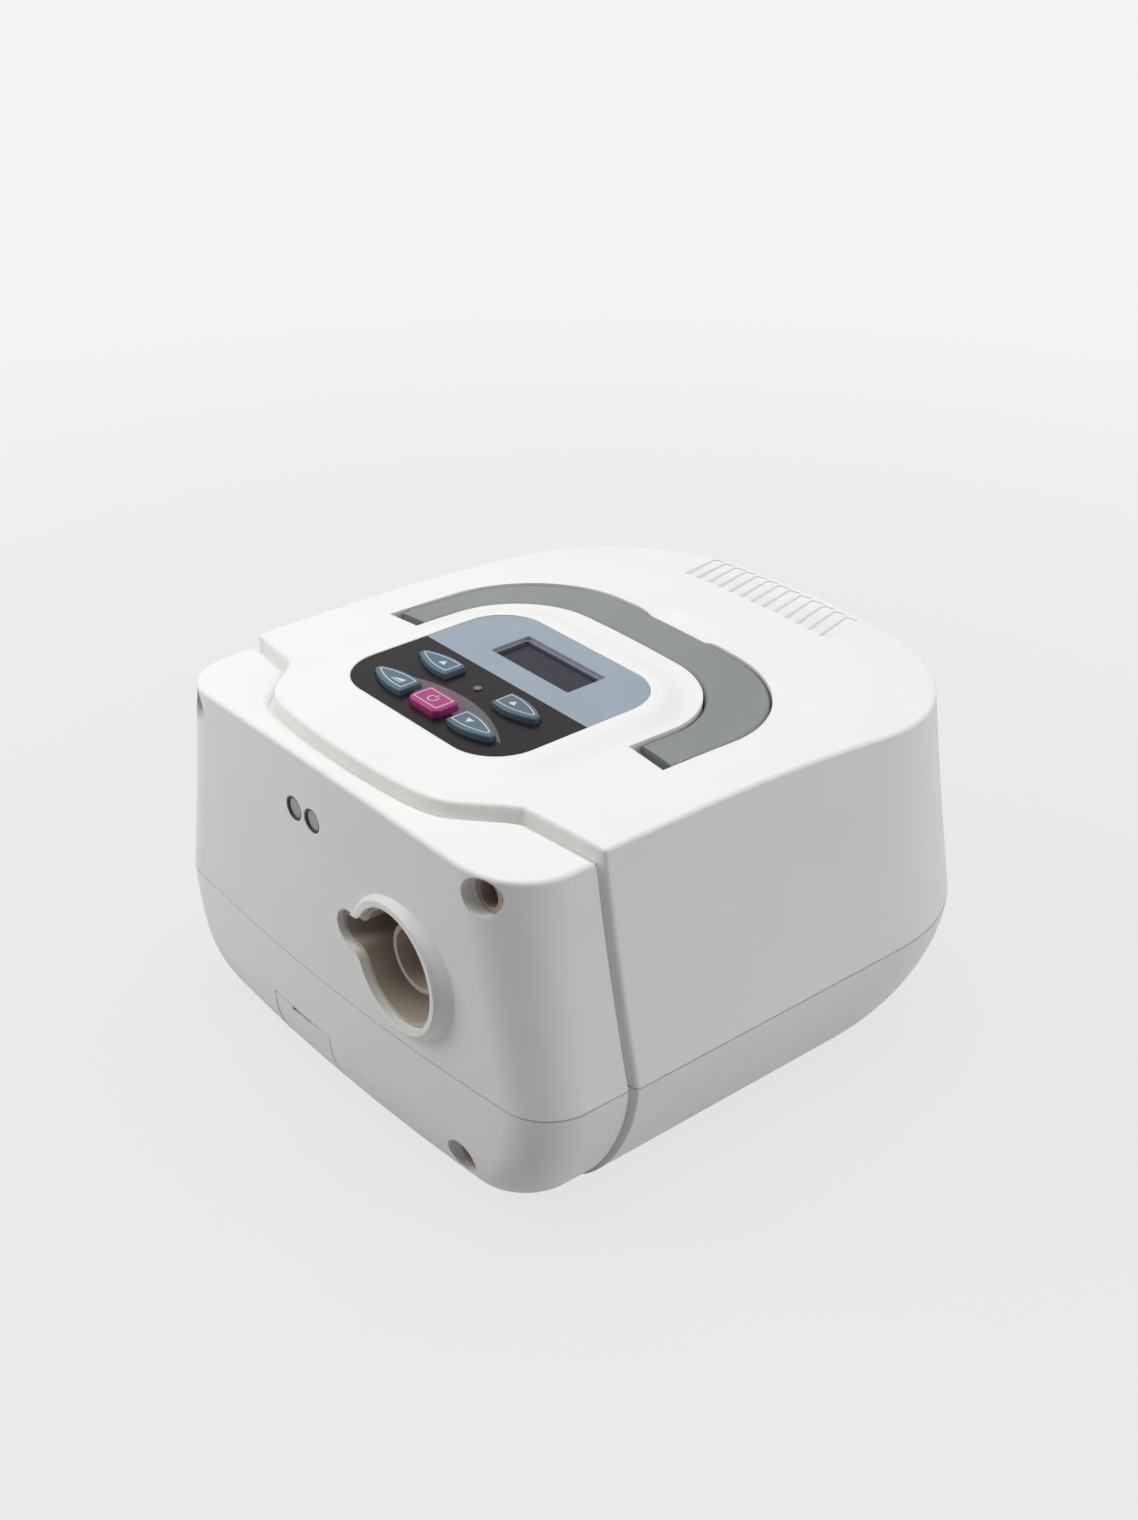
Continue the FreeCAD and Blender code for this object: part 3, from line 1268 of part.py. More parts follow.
def lower_housing_shape():
    outer = lower_outer()
    shell = outer.cut(lower_cavity())
    posts = []
    for x, y in SCREW_PLACES:
        posts.append(rod_z(D.screw_post, x, y, D.foot_height, D.parting_z))
    for x, y in BASE_POSTS:
        posts.append(rod_z(D.post_radius, x, y, D.foot_height, D.base_board_z))
    for x, y in MOUNT_PLACES:
        posts.append(rod_z(D.mount_radius - 0.5, x, y, D.foot_height, D.volute_low_z - D.mount_height))
    posts = [post.common(outer) for post in posts]
    hinge_y, hinge_z = door_axis()
    ears = [
        around(
            left + D.door_ear / 2, D.door_ear / 2, hinge_y - 3, hinge_y + 2.6, hinge_z, D.door_ear,
        ).common(outer)
        for left in (D.door_left_x - D.door_gap - D.door_ear, D.door_right_x + D.door_gap)
    ]
    stub_reach = D.door_stub + D.door_gap + 0.2
    shell = shell.fuse(posts + ears + well_bosses(LOWER_WELLS, outer))
    cuts = [
        door_block(float(D.door_gap), float(D.door_swing_gap)),
        door_wedge(),
        rod_x(
            D.door_pin + D.pin_fit, hinge_y, hinge_z, D.door_left_x - stub_reach, D.door_right_x + stub_reach),
        box_between(-FAR, FAR, -FAR, FAR, D.parting_z - D.parting_gap / 2, FAR),
    ]
    cuts += screw_wells(LOWER_WELLS)
    for x, y in FOOT_PLACES:
        cuts.append(rod_z(D.foot_radius + 0.1, x, y, 0, D.foot_height + D.foot_recess))
    for x, y in SCREW_PLACES:
        cuts.append(rod_z(D.screw_radius + D.pin_fit, x, y, 0, D.parting_z + 1))
        cuts.append(rod_z(D.screw_head + 0.2, x, y, 0, D.screw_seat_z))
    for x, y in BASE_POSTS:
        cuts.append(rod_z(D.board_screw + D.pin_fit, x, y, D.base_board_z - 6, D.base_board_z + 1))
    return shell.cut(cuts)


upper_housing = piece(shaped("upper_housing", upper_housing_shape()), "upper_housing")
lower_housing = piece(shaped("lower_housing", lower_housing_shape()), "lower_housing")


# ---------------------------------------------------------------- control panel

overlay_low = PANEL_Z - D.panel_recess
overlay_high = overlay_low + D.overlay_thick


def overlay_shape():
    gap = -float(D.overlay_gap)
    sheet_solid = prism(
        rounded_box_wire(D.panel_width, D.panel_front_y, D.panel_back_y, D.panel_corner, gap),
        overlay_low, overlay_high)
    window = (D.window_width, D.window_front_y, D.window_back_y, D.window_corner)
    holes = key_openings(float(D.key_gap), UNDER_TOP_Z, FAR / 2)
    holes.append(prism(rounded_box_wire(*window), UNDER_TOP_Z, FAR / 2))
    holes.append(rod_z(D.light_radius + OPENING_GAP, D.key_middle_x, D.light_y, UNDER_TOP_Z, FAR / 2))
    return sheet_solid.cut(holes)


control_overlay = piece(shaped("control_overlay", overlay_shape()), "control_overlay")

window_middle_y = (D.window_front_y + D.window_back_y) / 2
window_depth = D.window_back_y - D.window_front_y
display_window = piece(
    plate(
        "display_window", D.window_width + D.window_rim * 2, window_depth + D.window_rim * 2,
        D.window_corner + D.window_rim, D.window_thick, 0.0, window_middle_y, overlay_low - D.window_thick),
    "display_window")

board_top = CONTROL_Z + D.board_thick
display_glass = block(
    "display_glass", -D.window_width / 2 + 0.3, D.window_width / 2 - 0.3,
    D.window_front_y + 0.3, D.window_back_y - 0.3, DISPLAY_FRAME_Z, overlay_low - D.window_thick - 0.1)
display_frame = block(
    "display_frame", -D.window_width / 2 - D.display_rim, D.window_width / 2 + D.display_rim,
    D.window_front_y - D.display_rim, D.window_back_y + D.display_rim, board_top + D.lay_gap, DISPLAY_FRAME_Z)
display_module = piece(joined("display_module", display_glass, display_frame), "display_module")

light_foot_z = board_top + 2.0
light_body = rod(
    "light_body", D.light_radius, overlay_high + 0.4 - light_foot_z, D.key_middle_x, D.light_y, light_foot_z)
light_base = block(
    "light_base", D.key_middle_x - 2.2, D.key_middle_x + 2.2, D.light_y - 2.2, D.light_y + 2.2,
    board_top + D.lay_gap, light_foot_z)
indicator_light = piece(joined("indicator_light", light_body, light_base), "indicator_light")

key_top = overlay_high + D.key_proud
flange_high = D.crown_z - D.wall_top - D.flange_drop
switch_top = board_top + D.switch_height + D.plunger_height
stem_low = switch_top + D.key_travel + 0.1
KEY_TURN = {1: Rotation(), -1: Rotation(Vector(0, 0, 1), 180)}


def finish_key(body, name):
    """Round a key's top edge, after its cap, flange and stem."""
    doc.recompute()
    whole = body.Tip
    high = whole.Shape.BoundBox.ZMax
    rim = [
        f"Edge{index}"
        for index, edge in enumerate(whole.Shape.Edges, 1)
        if all(abs(vertex.Point.z - high) < 0.01 for vertex in edge.Vertexes)
    ]
    rounding = body.newObject("PartDesign::Fillet", f"{name}_rounding")
    rounding.Base = (whole, rim)
    tie(rounding, "Radius", D.key_round)
    body.Tip = rounding


def pointed_key(name, direction, row_y):
    """Key with a flat end and a narrow tip, its flange and its stem; the body's zero is the flange's top."""
    body = new_body(name)
    outline = sketch_on(body, f"{name}_outline")
    draw_pointed(outline, D.key_length, D.key_width, D.key_tip, D.key_arc)
    pad(body, outline, key_top - flange_high, f"{name}_cap")
    flange = sketch_on(body, f"{name}_flange_outline")
    draw_pointed_flange(flange)
    pad(body, flange, D.flange_thick, f"{name}_flange", downward=True)
    stem = sketch_on(body, f"{name}_stem_outline")
    draw_circle(stem, D.stem_radius, D.key_length / 3, 0.0)
    pad(body, stem, flange_high - stem_low, f"{name}_stem", downward=True)
    finish_key(body, name)
    return put(body, D.key_middle_x + direction * D.key_flat_x, row_y, flange_high, KEY_TURN[direction])


def draw_pointed_flange(sketch):
    """Flange outline: wider than the key all round, with a blunt end over the tip."""
    half = D.key_width / 2 + D.flange_rim
    left, right = -D.flange_rim, D.key_length * 0.72
    corners = [(left, -half), (right, -half), (right, half), (left, half)]
    lines = []
    for index, (x, y) in enumerate(corners):
        next_x, next_y = corners[(index + 1) % 4]
        lines.append(sketch.addGeometry(Part.LineSegment(vec(x, y, 0), vec(next_x, next_y, 0)), False))
    for index, line in enumerate(lines):
        sketch.addConstraint(Sketcher.Constraint("Coincident", line, 2, lines[(index + 1) % 4], 1))
    for index, (x, y) in enumerate(corners):
        fix(sketch, "DistanceX", f"corner_{index}_x", x, -1, 1, lines[index], 1)
        fix(sketch, "DistanceY", f"corner_{index}_y", y, -1, 1, lines[index], 1)


def power_key_body(name):
    body = new_body(name)
    outline = sketch_on(body, f"{name}_outline")
    draw_rounded(outline, D.power_width, D.power_depth, D.power_corner)
    pad(body, outline, key_top + D.power_rise - flange_high, f"{name}_cap")
    flange = sketch_on(body, f"{name}_flange_outline")
    rims = D.flange_rim * 2
    draw_rounded(flange, D.power_width + rims, D.power_depth + rims, D.power_corner + D.flange_rim)
    pad(body, flange, D.flange_thick, f"{name}_flange", downward=True)
    stem = sketch_on(body, f"{name}_stem_outline")
    draw_circle(stem, D.stem_radius)
    pad(body, stem, flange_high - stem_low, f"{name}_stem", downward=True)
    finish_key(body, name)
    return put(body, D.key_middle_x, D.key_front_y, flange_high)


for key_name, (key_side, key_row) in POINTED_KEYS.items():
    piece(pointed_key(key_name, key_side, key_row), key_name)
piece(power_key_body("power_key"), "power_key")

stem_x = D.key_flat_x + D.key_length / 3
SWITCH_PLACES = [(D.key_middle_x + side * stem_x, row_y) for side, row_y in POINTED_KEYS.values()]
SWITCH_PLACES.append((D.key_middle_x, D.key_front_y))


def push_switch(index, x, y):
    half = D.switch_side / 2
    high = board_top + D.switch_height
    base = block(f"switch_base_{index}", x - half, x + half, y - half, y + half, board_top + D.lay_gap, high)
    plunger = rod(f"switch_plunger_{index}", D.stem_radius, D.plunger_height, x, y, high)
    return joined(f"push_switch_{index}", base, plunger)


push_switches = piece(
    group("push_switches", *[push_switch(index, x, y) for index, (x, y) in enumerate(SWITCH_PLACES, 1)]),
    "push_switches")


def drilled_board(name, x0, x1, y0, y1, z, places):
    """Circuit board with a hole at each post."""
    base = block(f"{name}_sheet", x0, x1, y0, y1, z, z + D.board_thick)
    holes = [
        rod(f"{name}_hole_{index}", D.board_screw + 0.2, D.board_thick + 2, x, y, z - 1)
        for index, (x, y) in enumerate(places, 1)
    ]
    return cut(name, base, *holes)


control_board = piece(
    drilled_board(
        "control_board", -D.control_half, D.control_half, D.control_front_y, D.control_back_y, CONTROL_Z,
        CONTROL_POSTS),
    "control_board")


# ---------------------------------------------------------------- carrying handle

def handle_shape():
    """U-shaped handle, flush with the arched top; its ends are square above the pins and round below."""
    thick = float(D.handle_thick)
    sink = float(D.handle_sink)
    outline = handle_wire(0.0, D.handle_front_y)
    bar = prism(outline, 60, D.crown_z + 10).common(block_under(crown, sink))
    bar = bar.cut(block_under(crown, sink + thick))
    ahead = float(D.handle_front_y) + 1
    top_edges = [
        edge for edge in edges_on(bar, lambda x, y: crown(x, y) - sink) if edge.BoundBox.YMax > ahead]
    bar = bar.makeFillet(float(D.handle_round), top_edges)
    bar = bar.cut(box_between(-FAR / 2, FAR / 2, -FAR / 2, PIN_Y, 0, pin_height()))
    ends = []
    for left, right in ((D.handle_inner_half, D.handle_half), (-D.handle_half, -D.handle_inner_half)):
        ends.append(rod_x(thick / 2 - 0.35, PIN_Y, pin_height(), left, right))
    bar = bar.fuse(ends)
    bore = rod_x(D.pin_radius + D.pin_fit, PIN_Y, pin_height(), -FAR / 2, FAR / 2)
    return bar.cut(bore)


carry_handle = piece(shaped("carry_handle", handle_shape()), "carry_handle")

PIN_Z = pin_height()
pin_length = D.handle_half - D.handle_inner_half + D.handle_gap * 2 + D.trough_wall * 2 - 1
pin_start = D.handle_inner_half - D.handle_gap - D.trough_wall + 0.5
handle_pins = piece(
    group(
        "handle_pins",
        rod("handle_pin_right", D.pin_radius, pin_length, pin_start, PIN_Y, PIN_Z, "x"),
        rod("handle_pin_left", D.pin_radius, pin_length, -pin_start - pin_length, PIN_Y, PIN_Z, "x")),
    "handle_pins")


# ---------------------------------------------------------------- air outlet

socket_back_y = D.front_y + D.socket_depth + D.socket_floor


def socket_shape():
    """Liner of the outlet recess: keyhole wall, flange behind the collar, floor with the tube's hole."""
    wall = float(D.liner_wall)
    front = D.front_y - D.collar_proud - 2
    liner = keyhole(wall, wall, front, socket_back_y)
    rim = wall + float(D.socket_flange)
    flange_front = COLLAR_BACK_Y + D.lay_gap
    flange = keyhole(rim, rim, flange_front, flange_front + D.socket_flange)
    hollow = keyhole(0.0, 0.0, front - 1, D.front_y + D.socket_depth)
    hole = rod_y(D.tube_shank + D.pin_fit, D.outlet_x, D.outlet_z, D.front_y, socket_back_y + 5)
    return liner.fuse(flange).cut([hollow, hole, before_collar(float(D.liner_setback))])


outlet_socket = piece(shaped("outlet_socket", socket_shape()), "outlet_socket")

tube_front_y = D.front_y - D.collar_proud + D.tube_set_back
recess_floor_y = D.front_y + D.socket_depth
tube_wall = rod(
    "tube_wall", D.tube_radius, D.tube_end_y - tube_front_y, D.outlet_x, tube_front_y, D.outlet_z, "y")
tube_shank = rod(
    "tube_shank", D.tube_shank, D.tube_end_y - recess_floor_y, D.outlet_x, recess_floor_y, D.outlet_z, "y")
tube_flange = rod(
    "tube_flange", D.tube_flange, D.socket_flange, D.outlet_x, socket_back_y + D.lay_gap, D.outlet_z, "y")
tube_barb = rod(
    "tube_barb", D.barb_radius, 7.0, D.outlet_x, D.tap_y, D.outlet_z - D.tube_bore - 7.0)
tube_bore = rod(
    "tube_bore", D.tube_bore, D.tube_end_y - tube_front_y + 2, D.outlet_x, tube_front_y - 1, D.outlet_z, "y")
outlet_tube = piece(
    cut("outlet_tube", joined("tube_outside", tube_wall, tube_shank, tube_flange, tube_barb), tube_bore),
    "outlet_tube")

small, large = D.tube_shank + D.pin_fit, D.spout_radius + D.pin_fit
coupling_step_y = D.tube_end_y + 2
coupling_outside = joined(
    "coupling_outside",
    rod(
        "coupling_small", small + D.coupling_wall, coupling_step_y - D.coupling_front_y,
        D.outlet_x, D.coupling_front_y, D.outlet_z, "y"),
    cone(
        "coupling_taper", small + D.coupling_wall, large + D.coupling_wall, D.spout_front_y - coupling_step_y,
        D.outlet_x, coupling_step_y, D.outlet_z, "y"),
    rod(
        "coupling_large", large + D.coupling_wall, D.coupling_back_y - D.spout_front_y,
        D.outlet_x, D.spout_front_y, D.outlet_z, "y"))
coupling_inside = joined(
    "coupling_inside",
    rod(
        "coupling_small_bore", small, D.tube_end_y + 0.3 - D.coupling_front_y + 1,
        D.outlet_x, D.coupling_front_y - 1, D.outlet_z, "y"),
    cone(
        "coupling_taper_bore", small, large, D.spout_front_y - D.tube_end_y - 0.6,
        D.outlet_x, D.tube_end_y + 0.3, D.outlet_z, "y"),
    rod(
        "coupling_large_bore", large, D.coupling_back_y - D.spout_front_y + 1.3,
        D.outlet_x, D.spout_front_y - 0.3, D.outlet_z, "y"))
outlet_coupling = piece(cut("outlet_coupling", coupling_outside, coupling_inside), "outlet_coupling")

contact_places = (("left", D.contact_left_x), ("right", D.contact_right_x))
contact_bezels = piece(
    group("contact_bezels", *[
        cut(
            f"bezel_{side}",
            rod(
                f"bezel_{side}_outside", D.bezel_radius, D.bezel_length,
                x, D.front_y + D.bezel_sunk, D.contact_z, "y"),
            rod(
                f"bezel_{side}_bore", D.contact_radius + D.pin_fit, D.bezel_length + 2, x,
                D.front_y + D.bezel_sunk - 1, D.contact_z, "y"))
        for side, x in contact_places
    ]),
    "contact_bezels")
contact_pins = piece(
    group("contact_pins", *[
        rod(
            f"contact_{side}", D.contact_radius, D.contact_length,
            x, D.front_y + D.contact_sunk, D.contact_z, "y")
        for side, x in contact_places
    ]),
    "contact_pins")
contact_board_y = D.front_y + D.contact_sunk + D.contact_length + D.lay_gap
contact_board = piece(
    block(
        "contact_board", D.contact_left_x - 7, D.contact_right_x + 7, contact_board_y,
        contact_board_y + D.board_thick, D.contact_z - 6, D.contact_z + 6),
    "contact_board")


def well_bushing(name, x, z):
    """Collared cup in a screw well: the well's screw holds it by its floor."""
    front = D.well_ledge_y
    collar_rod = rod(
        f"{name}_collar", D.well_radius - D.lay_gap, D.bushing_collar - D.lay_gap, x, front, z, "y")
    cup = rod(f"{name}_cup", D.well_shaft - D.lay_gap, D.well_end_y - D.lay_gap - front, x, front, z, "y")
    bore = rod(
        f"{name}_bore", D.bushing_bore, D.well_end_y - D.bushing_floor - front + 1, x, front - 1, z, "y")
    hole = rod(f"{name}_hole", D.screw_radius + D.pin_fit, D.well_end_y - front + 1, x, front, z, "y")
    return cut(name, joined(f"{name}_outside", collar_rod, cup), bore, hole)


WELLS = UPPER_WELLS + LOWER_WELLS
well_bushings = piece(
    group("well_bushings", *[
        well_bushing(f"well_bushing_{index}", x, z) for index, (x, z) in enumerate(WELLS, 1)
    ]),
    "well_bushings")


# ---------------------------------------------------------------- card door

def card_door_shape():
    """Curved skin of the front with a hinge barrel, two stubs and a fingernail slit."""
    inset = float(D.section_inset)
    heights = lower_heights()
    skin = loft(heights, inset, 0).cut(loft(heights, inset, float(D.door_thick)))
    skin = skin.common(door_block(0.0, 0.0))
    hinge_y, hinge_z = door_axis()
    barrel = rod_x(D.door_barrel, hinge_y, hinge_z, D.door_left_x, D.door_right_x)
    stubs = rod_x(
        D.door_pin, hinge_y, hinge_z, D.door_left_x - D.door_gap - D.door_stub,
        D.door_right_x + D.door_gap + D.door_stub)
    slit = box_between(
        D.slit_left_x, D.slit_right_x, D.front_y - 5, D.front_y + D.slit_depth,
        D.door_high_z - D.slit_height, D.door_high_z + 1)
    return skin.fuse([barrel, stubs]).cut(slit)


card_door = piece(shaped("card_door", card_door_shape()), "card_door")

card_middle_x = (D.door_left_x + D.door_right_x) / 2
reader_low_z = D.foot_height + D.wall_side + D.lay_gap
reader_half, card_half = D.reader_width / 2, D.card_width / 2
card_reader = piece(
    cut(
        "card_reader",
        block(
            "reader_body", card_middle_x - reader_half, card_middle_x + reader_half, D.reader_front_y,
            D.reader_back_y, reader_low_z, D.reader_high_z),
        block(
            "reader_slot", card_middle_x - card_half, card_middle_x + card_half, D.reader_front_y - 1,
            D.reader_back_y - 4, D.card_slot_z, D.card_slot_z + D.card_height)),
    "card_reader")


# ---------------------------------------------------------------- blower

def volute_shape(low, high):
    """Blower casing with its tangential spout and round inlet, between two heights."""
    wall = D.volute_wall
    outside = rod_z(D.volute_radius, 0, D.blower_y, D.volute_low_z, D.volute_high_z).fuse([
        rod_z(D.volute_radius + wall, 0, D.blower_y, D.split_z - wall, D.split_z + wall),
        rod_y(D.spout_radius, D.outlet_x, D.outlet_z, D.spout_front_y, D.blower_y + wall),
        rod_z(D.inlet_radius + wall, 0, D.blower_y, D.volute_high_z, D.volute_high_z + 3),
    ])
    hollow = [
        rod_z(D.volute_radius - wall, 0, D.blower_y, D.volute_low_z + wall, D.volute_high_z - wall),
        rod_y(D.spout_radius - wall, D.outlet_x, D.outlet_z, D.spout_front_y - 1, D.blower_y),
        rod_z(D.inlet_radius, 0, D.blower_y, D.volute_high_z - wall - 1, D.volute_high_z + 4),
        rod_z(D.shaft_radius + 0.6, 0, D.blower_y, D.volute_low_z - 1, D.volute_low_z + wall + 1),
    ]
    return outside.cut(hollow).common(box_between(-FAR / 2, FAR / 2, -FAR / 2, FAR / 2, low, high))


half_gap = D.lay_gap / 2
volute_lower = piece(shaped("volute_lower", volute_shape(0, D.split_z - half_gap)), "volute_lower")
volute_upper = piece(shaped("volute_upper", volute_shape(D.split_z + half_gap, FAR / 2)), "volute_upper")

motor_high_z = D.volute_low_z - D.lay_gap
blower_motor = piece(
    cut(
        "blower_motor",
        joined(
            "motor_can",
            rod("motor_body", D.motor_radius, motor_high_z - D.motor_low_z, 0.0, D.blower_y, D.motor_low_z),
            rod("motor_foot", D.motor_radius - 9, 2.0, 0.0, D.blower_y, D.motor_low_z - 2)),
        rod(
            "motor_bore", D.shaft_radius + D.pin_fit, motor_high_z - D.shaft_low_z + 1.2, 0.0, D.blower_y,
            D.shaft_low_z - 0.2)),
    "blower_motor")

wheel_high_z = D.wheel_low_z + D.wheel_disc + D.wheel_blade
motor_shaft = piece(
    rod("motor_shaft", D.shaft_radius, wheel_high_z + 2 - D.shaft_low_z, 0.0, D.blower_y, D.shaft_low_z),
    "motor_shaft")


def blades_shape():
    """Ring of leaning blades that stand on the impeller's disc."""
    low = float(D.wheel_low_z + D.wheel_disc) - 0.1
    eye, rim = float(D.wheel_eye), float(D.wheel_radius)
    thick = float(D.blade_thick)
    lean = math.radians(float(D.blade_turn))
    length = math.sqrt(rim ** 2 - (eye * math.sin(lean)) ** 2) - eye * math.cos(lean) - 0.8
    blades = []
    for index in range(int(float(D.blade_count))):
        blade = Part.makeBox(length, thick, float(D.wheel_blade) + 0.2, Vector(0, -thick / 2, low))
        blade.rotate(Vector(0, 0, 0), Vector(0, 0, 1), math.degrees(lean))
        blade.translate(Vector(eye, 0, 0))
        blade.rotate(Vector(0, 0, 0), Vector(0, 0, 1), 360 * index / float(D.blade_count))
        blade.translate(vec(0, D.blower_y, 0))
        blades.append(blade)
    return Part.makeCompound(blades)


shroud = cut(
    "impeller_shroud",
    rod("shroud_plate", D.wheel_radius, D.wheel_disc, 0.0, D.blower_y, wheel_high_z),
    rod("shroud_eye", D.wheel_eye + 1, D.wheel_disc + 2, 0.0, D.blower_y, wheel_high_z - 1))
wheel = joined(
    "impeller_wheel",
    rod("impeller_disc", D.wheel_radius, D.wheel_disc, 0.0, D.blower_y, D.wheel_low_z),
    rod("impeller_hub", D.wheel_hub, D.wheel_blade, 0.0, D.blower_y, D.wheel_low_z),
    shaped("impeller_blades", blades_shape()),
    shroud)
impeller = piece(
    cut(
        "impeller", wheel,
        rod(
            "impeller_bore", D.shaft_radius + D.pin_fit, D.wheel_blade + 4, 0.0, D.blower_y,
            D.wheel_low_z - 2)),
    "impeller")

mount_low_z = D.volute_low_z - D.mount_height + D.lay_gap
blower_mounts = piece(
    group("blower_mounts", *[
        rod(f"blower_mount_{index}", D.mount_radius, D.mount_height - D.lay_gap * 2, x, y, mount_low_z)
        for index, (x, y) in enumerate(MOUNT_PLACES, 1)
    ]),
    "blower_mounts")


# ---------------------------------------------------------------- intake

wall = D.inner_wall
silencer_box = piece(
    cut(
        "silencer_box",
        block(
            "silencer_outside", -D.silencer_half, D.silencer_half, D.silencer_front_y, D.silencer_back_y,
            D.silencer_low_z, D.silencer_high_z),
        block(
            "silencer_hollow", -D.silencer_half + wall, D.silencer_half - wall, D.silencer_front_y + wall,
            D.silencer_back_y - wall, D.silencer_low_z + wall, D.silencer_high_z - wall),
        rod(
            "silencer_hole", D.inlet_radius + D.volute_wall + D.pin_fit, wall + 2, 0.0, D.blower_y,
            D.silencer_low_z - 1),
        block(
            "silencer_window", D.filter_x - D.neck_half + wall, D.filter_x + D.neck_half - wall,
            D.silencer_back_y - wall - 1, D.silencer_back_y + 1, D.neck_low_z + wall, D.neck_high_z - wall)),
    "silencer_box")
foam_set_in = wall + D.lay_gap
foam_x = D.silencer_half - foam_set_in
silencer_foam = piece(
    group(
        "silencer_foam",
        *[
            block(
                f"foam_{name}", x, x + D.foam_thick, D.silencer_front_y + foam_set_in,
                D.silencer_back_y - foam_set_in, D.silencer_low_z + foam_set_in,
                D.silencer_high_z - foam_set_in)
            for name, x in (("left", -foam_x), ("right", foam_x - D.foam_thick))
        ]),
    "silencer_foam")

box_half_x, box_half_z = D.cap_width / 2 + wall, D.cap_height / 2 + wall
filter_outside = joined(
    "filter_outside",
    block(
        "filter_case", D.filter_x - box_half_x, D.filter_x + box_half_x, D.filter_front_y, D.box_back_y,
        D.filter_z - box_half_z, D.filter_z + box_half_z),
    block(
        "filter_neck", D.filter_x - D.neck_half, D.filter_x + D.neck_half, D.silencer_back_y + D.lay_gap,
        D.filter_front_y + 1, D.neck_low_z, D.neck_high_z))
filter_box = piece(
    cut(
        "filter_box", filter_outside,
        block(
            "filter_hollow", D.filter_x - box_half_x + wall, D.filter_x + box_half_x - wall,
            D.filter_front_y + wall, D.box_back_y + 1, D.filter_z - box_half_z + wall,
            D.filter_z + box_half_z - wall),
        block(
            "neck_hollow", D.filter_x - D.neck_half + wall, D.filter_x + D.neck_half - wall,
            D.silencer_back_y - 1, D.filter_front_y + wall + 1, D.neck_low_z + wall, D.neck_high_z - wall)),
    "filter_box")

filter_back_y = D.cap_front_y - D.lip_length - 0.4
air_filter = piece(
    block(
        "air_filter", D.filter_x - D.cap_width / 2 + 0.2, D.filter_x + D.cap_width / 2 - 0.2,
        filter_back_y - D.filter_thick, filter_back_y, D.filter_z - D.cap_height / 2 + 0.2,
        D.filter_z + D.cap_height / 2 - 0.2),
    "air_filter")

lip_half_x, lip_half_z = D.cap_width / 2 - D.cap_gap, D.cap_height / 2 - D.cap_gap
cap_plate = block(
    "cap_plate", D.filter_x - D.cap_width / 2, D.filter_x + D.cap_width / 2, D.cap_front_y,
    D.cap_front_y + D.cap_thick, D.filter_z - D.cap_height / 2, D.filter_z + D.cap_height / 2)
cap_lip = block(
    "cap_lip", D.filter_x - lip_half_x, D.filter_x + lip_half_x, D.cap_front_y - D.lip_length,
    D.cap_front_y + 1, D.filter_z - lip_half_z, D.filter_z + lip_half_z)
hollow_half_x, hollow_half_z = lip_half_x - D.lip_wall, lip_half_z - D.lip_wall
lip_hollow = block(
    "lip_hollow", D.filter_x - hollow_half_x, D.filter_x + hollow_half_x, D.cap_front_y - D.lip_length - 1,
    D.cap_front_y, D.filter_z - hollow_half_z, D.filter_z + hollow_half_z)
louvres = []
for index in range(int(float(D.louvre_count))):
    slot_z = D.filter_z + D.louvre_pitch * (index - (float(D.louvre_count) - 1) / 2)
    louvres.append(block(
        f"louvre_{index + 1}", D.filter_x - D.cap_width / 2 + 5, D.filter_x + D.cap_width / 2 - 5,
        D.cap_front_y - 1, D.cap_front_y + D.cap_thick + 1, slot_z - D.louvre_height / 2,
        slot_z + D.louvre_height / 2))
filter_cap = piece(
    cut("filter_cap", joined("cap_body", cap_plate, cap_lip), lip_hollow, *louvres), "filter_cap")


# ---------------------------------------------------------------- power inlet and data port

inlet_face_y = D.seat_y + D.lay_gap + D.inlet_flange
inlet_flange = block(
    "inlet_flange", D.inlet_x - D.inlet_width / 2, D.inlet_x + D.inlet_width / 2, D.seat_y + D.lay_gap,
    inlet_face_y, D.inlet_low_z, D.inlet_high_z)
inlet_body = block(
    "inlet_body", D.inlet_x - D.inlet_width / 2 + 2, D.inlet_x + D.inlet_width / 2 - 2,
    inlet_face_y - D.inlet_depth, D.seat_y + 1, D.inlet_low_z + 2, D.inlet_high_z - 2)
inlet_cavity = block(
    "inlet_cavity", D.inlet_x - D.socket_width / 2, D.inlet_x + D.socket_width / 2,
    inlet_face_y - D.blade_depth, inlet_face_y + 1, D.inlet_z - D.socket_height / 2,
    D.inlet_z + D.socket_height / 2)
drawer_space_half = D.drawer_width / 2 + D.drawer_gap
drawer_space = block(
    "drawer_space", D.inlet_x - drawer_space_half, D.inlet_x + drawer_space_half,
    inlet_face_y - D.drawer_length - D.drawer_gap, inlet_face_y + 1, D.drawer_low_z - D.drawer_gap,
    D.drawer_low_z + D.drawer_height + D.drawer_gap)
power_inlet = piece(
    cut("power_inlet", joined("inlet_outside", inlet_flange, inlet_body), inlet_cavity, drawer_space),
    "power_inlet")

blade_places = (("left", -7.0, -1.5), ("right", 7.0, -1.5), ("middle", 0.0, 3.0))
inlet_blades = piece(
    group("inlet_blades", *[
        block(
            f"inlet_blade_{name}", D.inlet_x + x - D.blade_thickness / 2, D.inlet_x + x + D.blade_thickness / 2,
            inlet_face_y - D.blade_depth + D.lay_gap, inlet_face_y - D.blade_sunk,
            D.inlet_z + z - D.blade_height / 2, D.inlet_z + z + D.blade_height / 2)
        for name, x, z in blade_places
    ]),
    "inlet_blades")

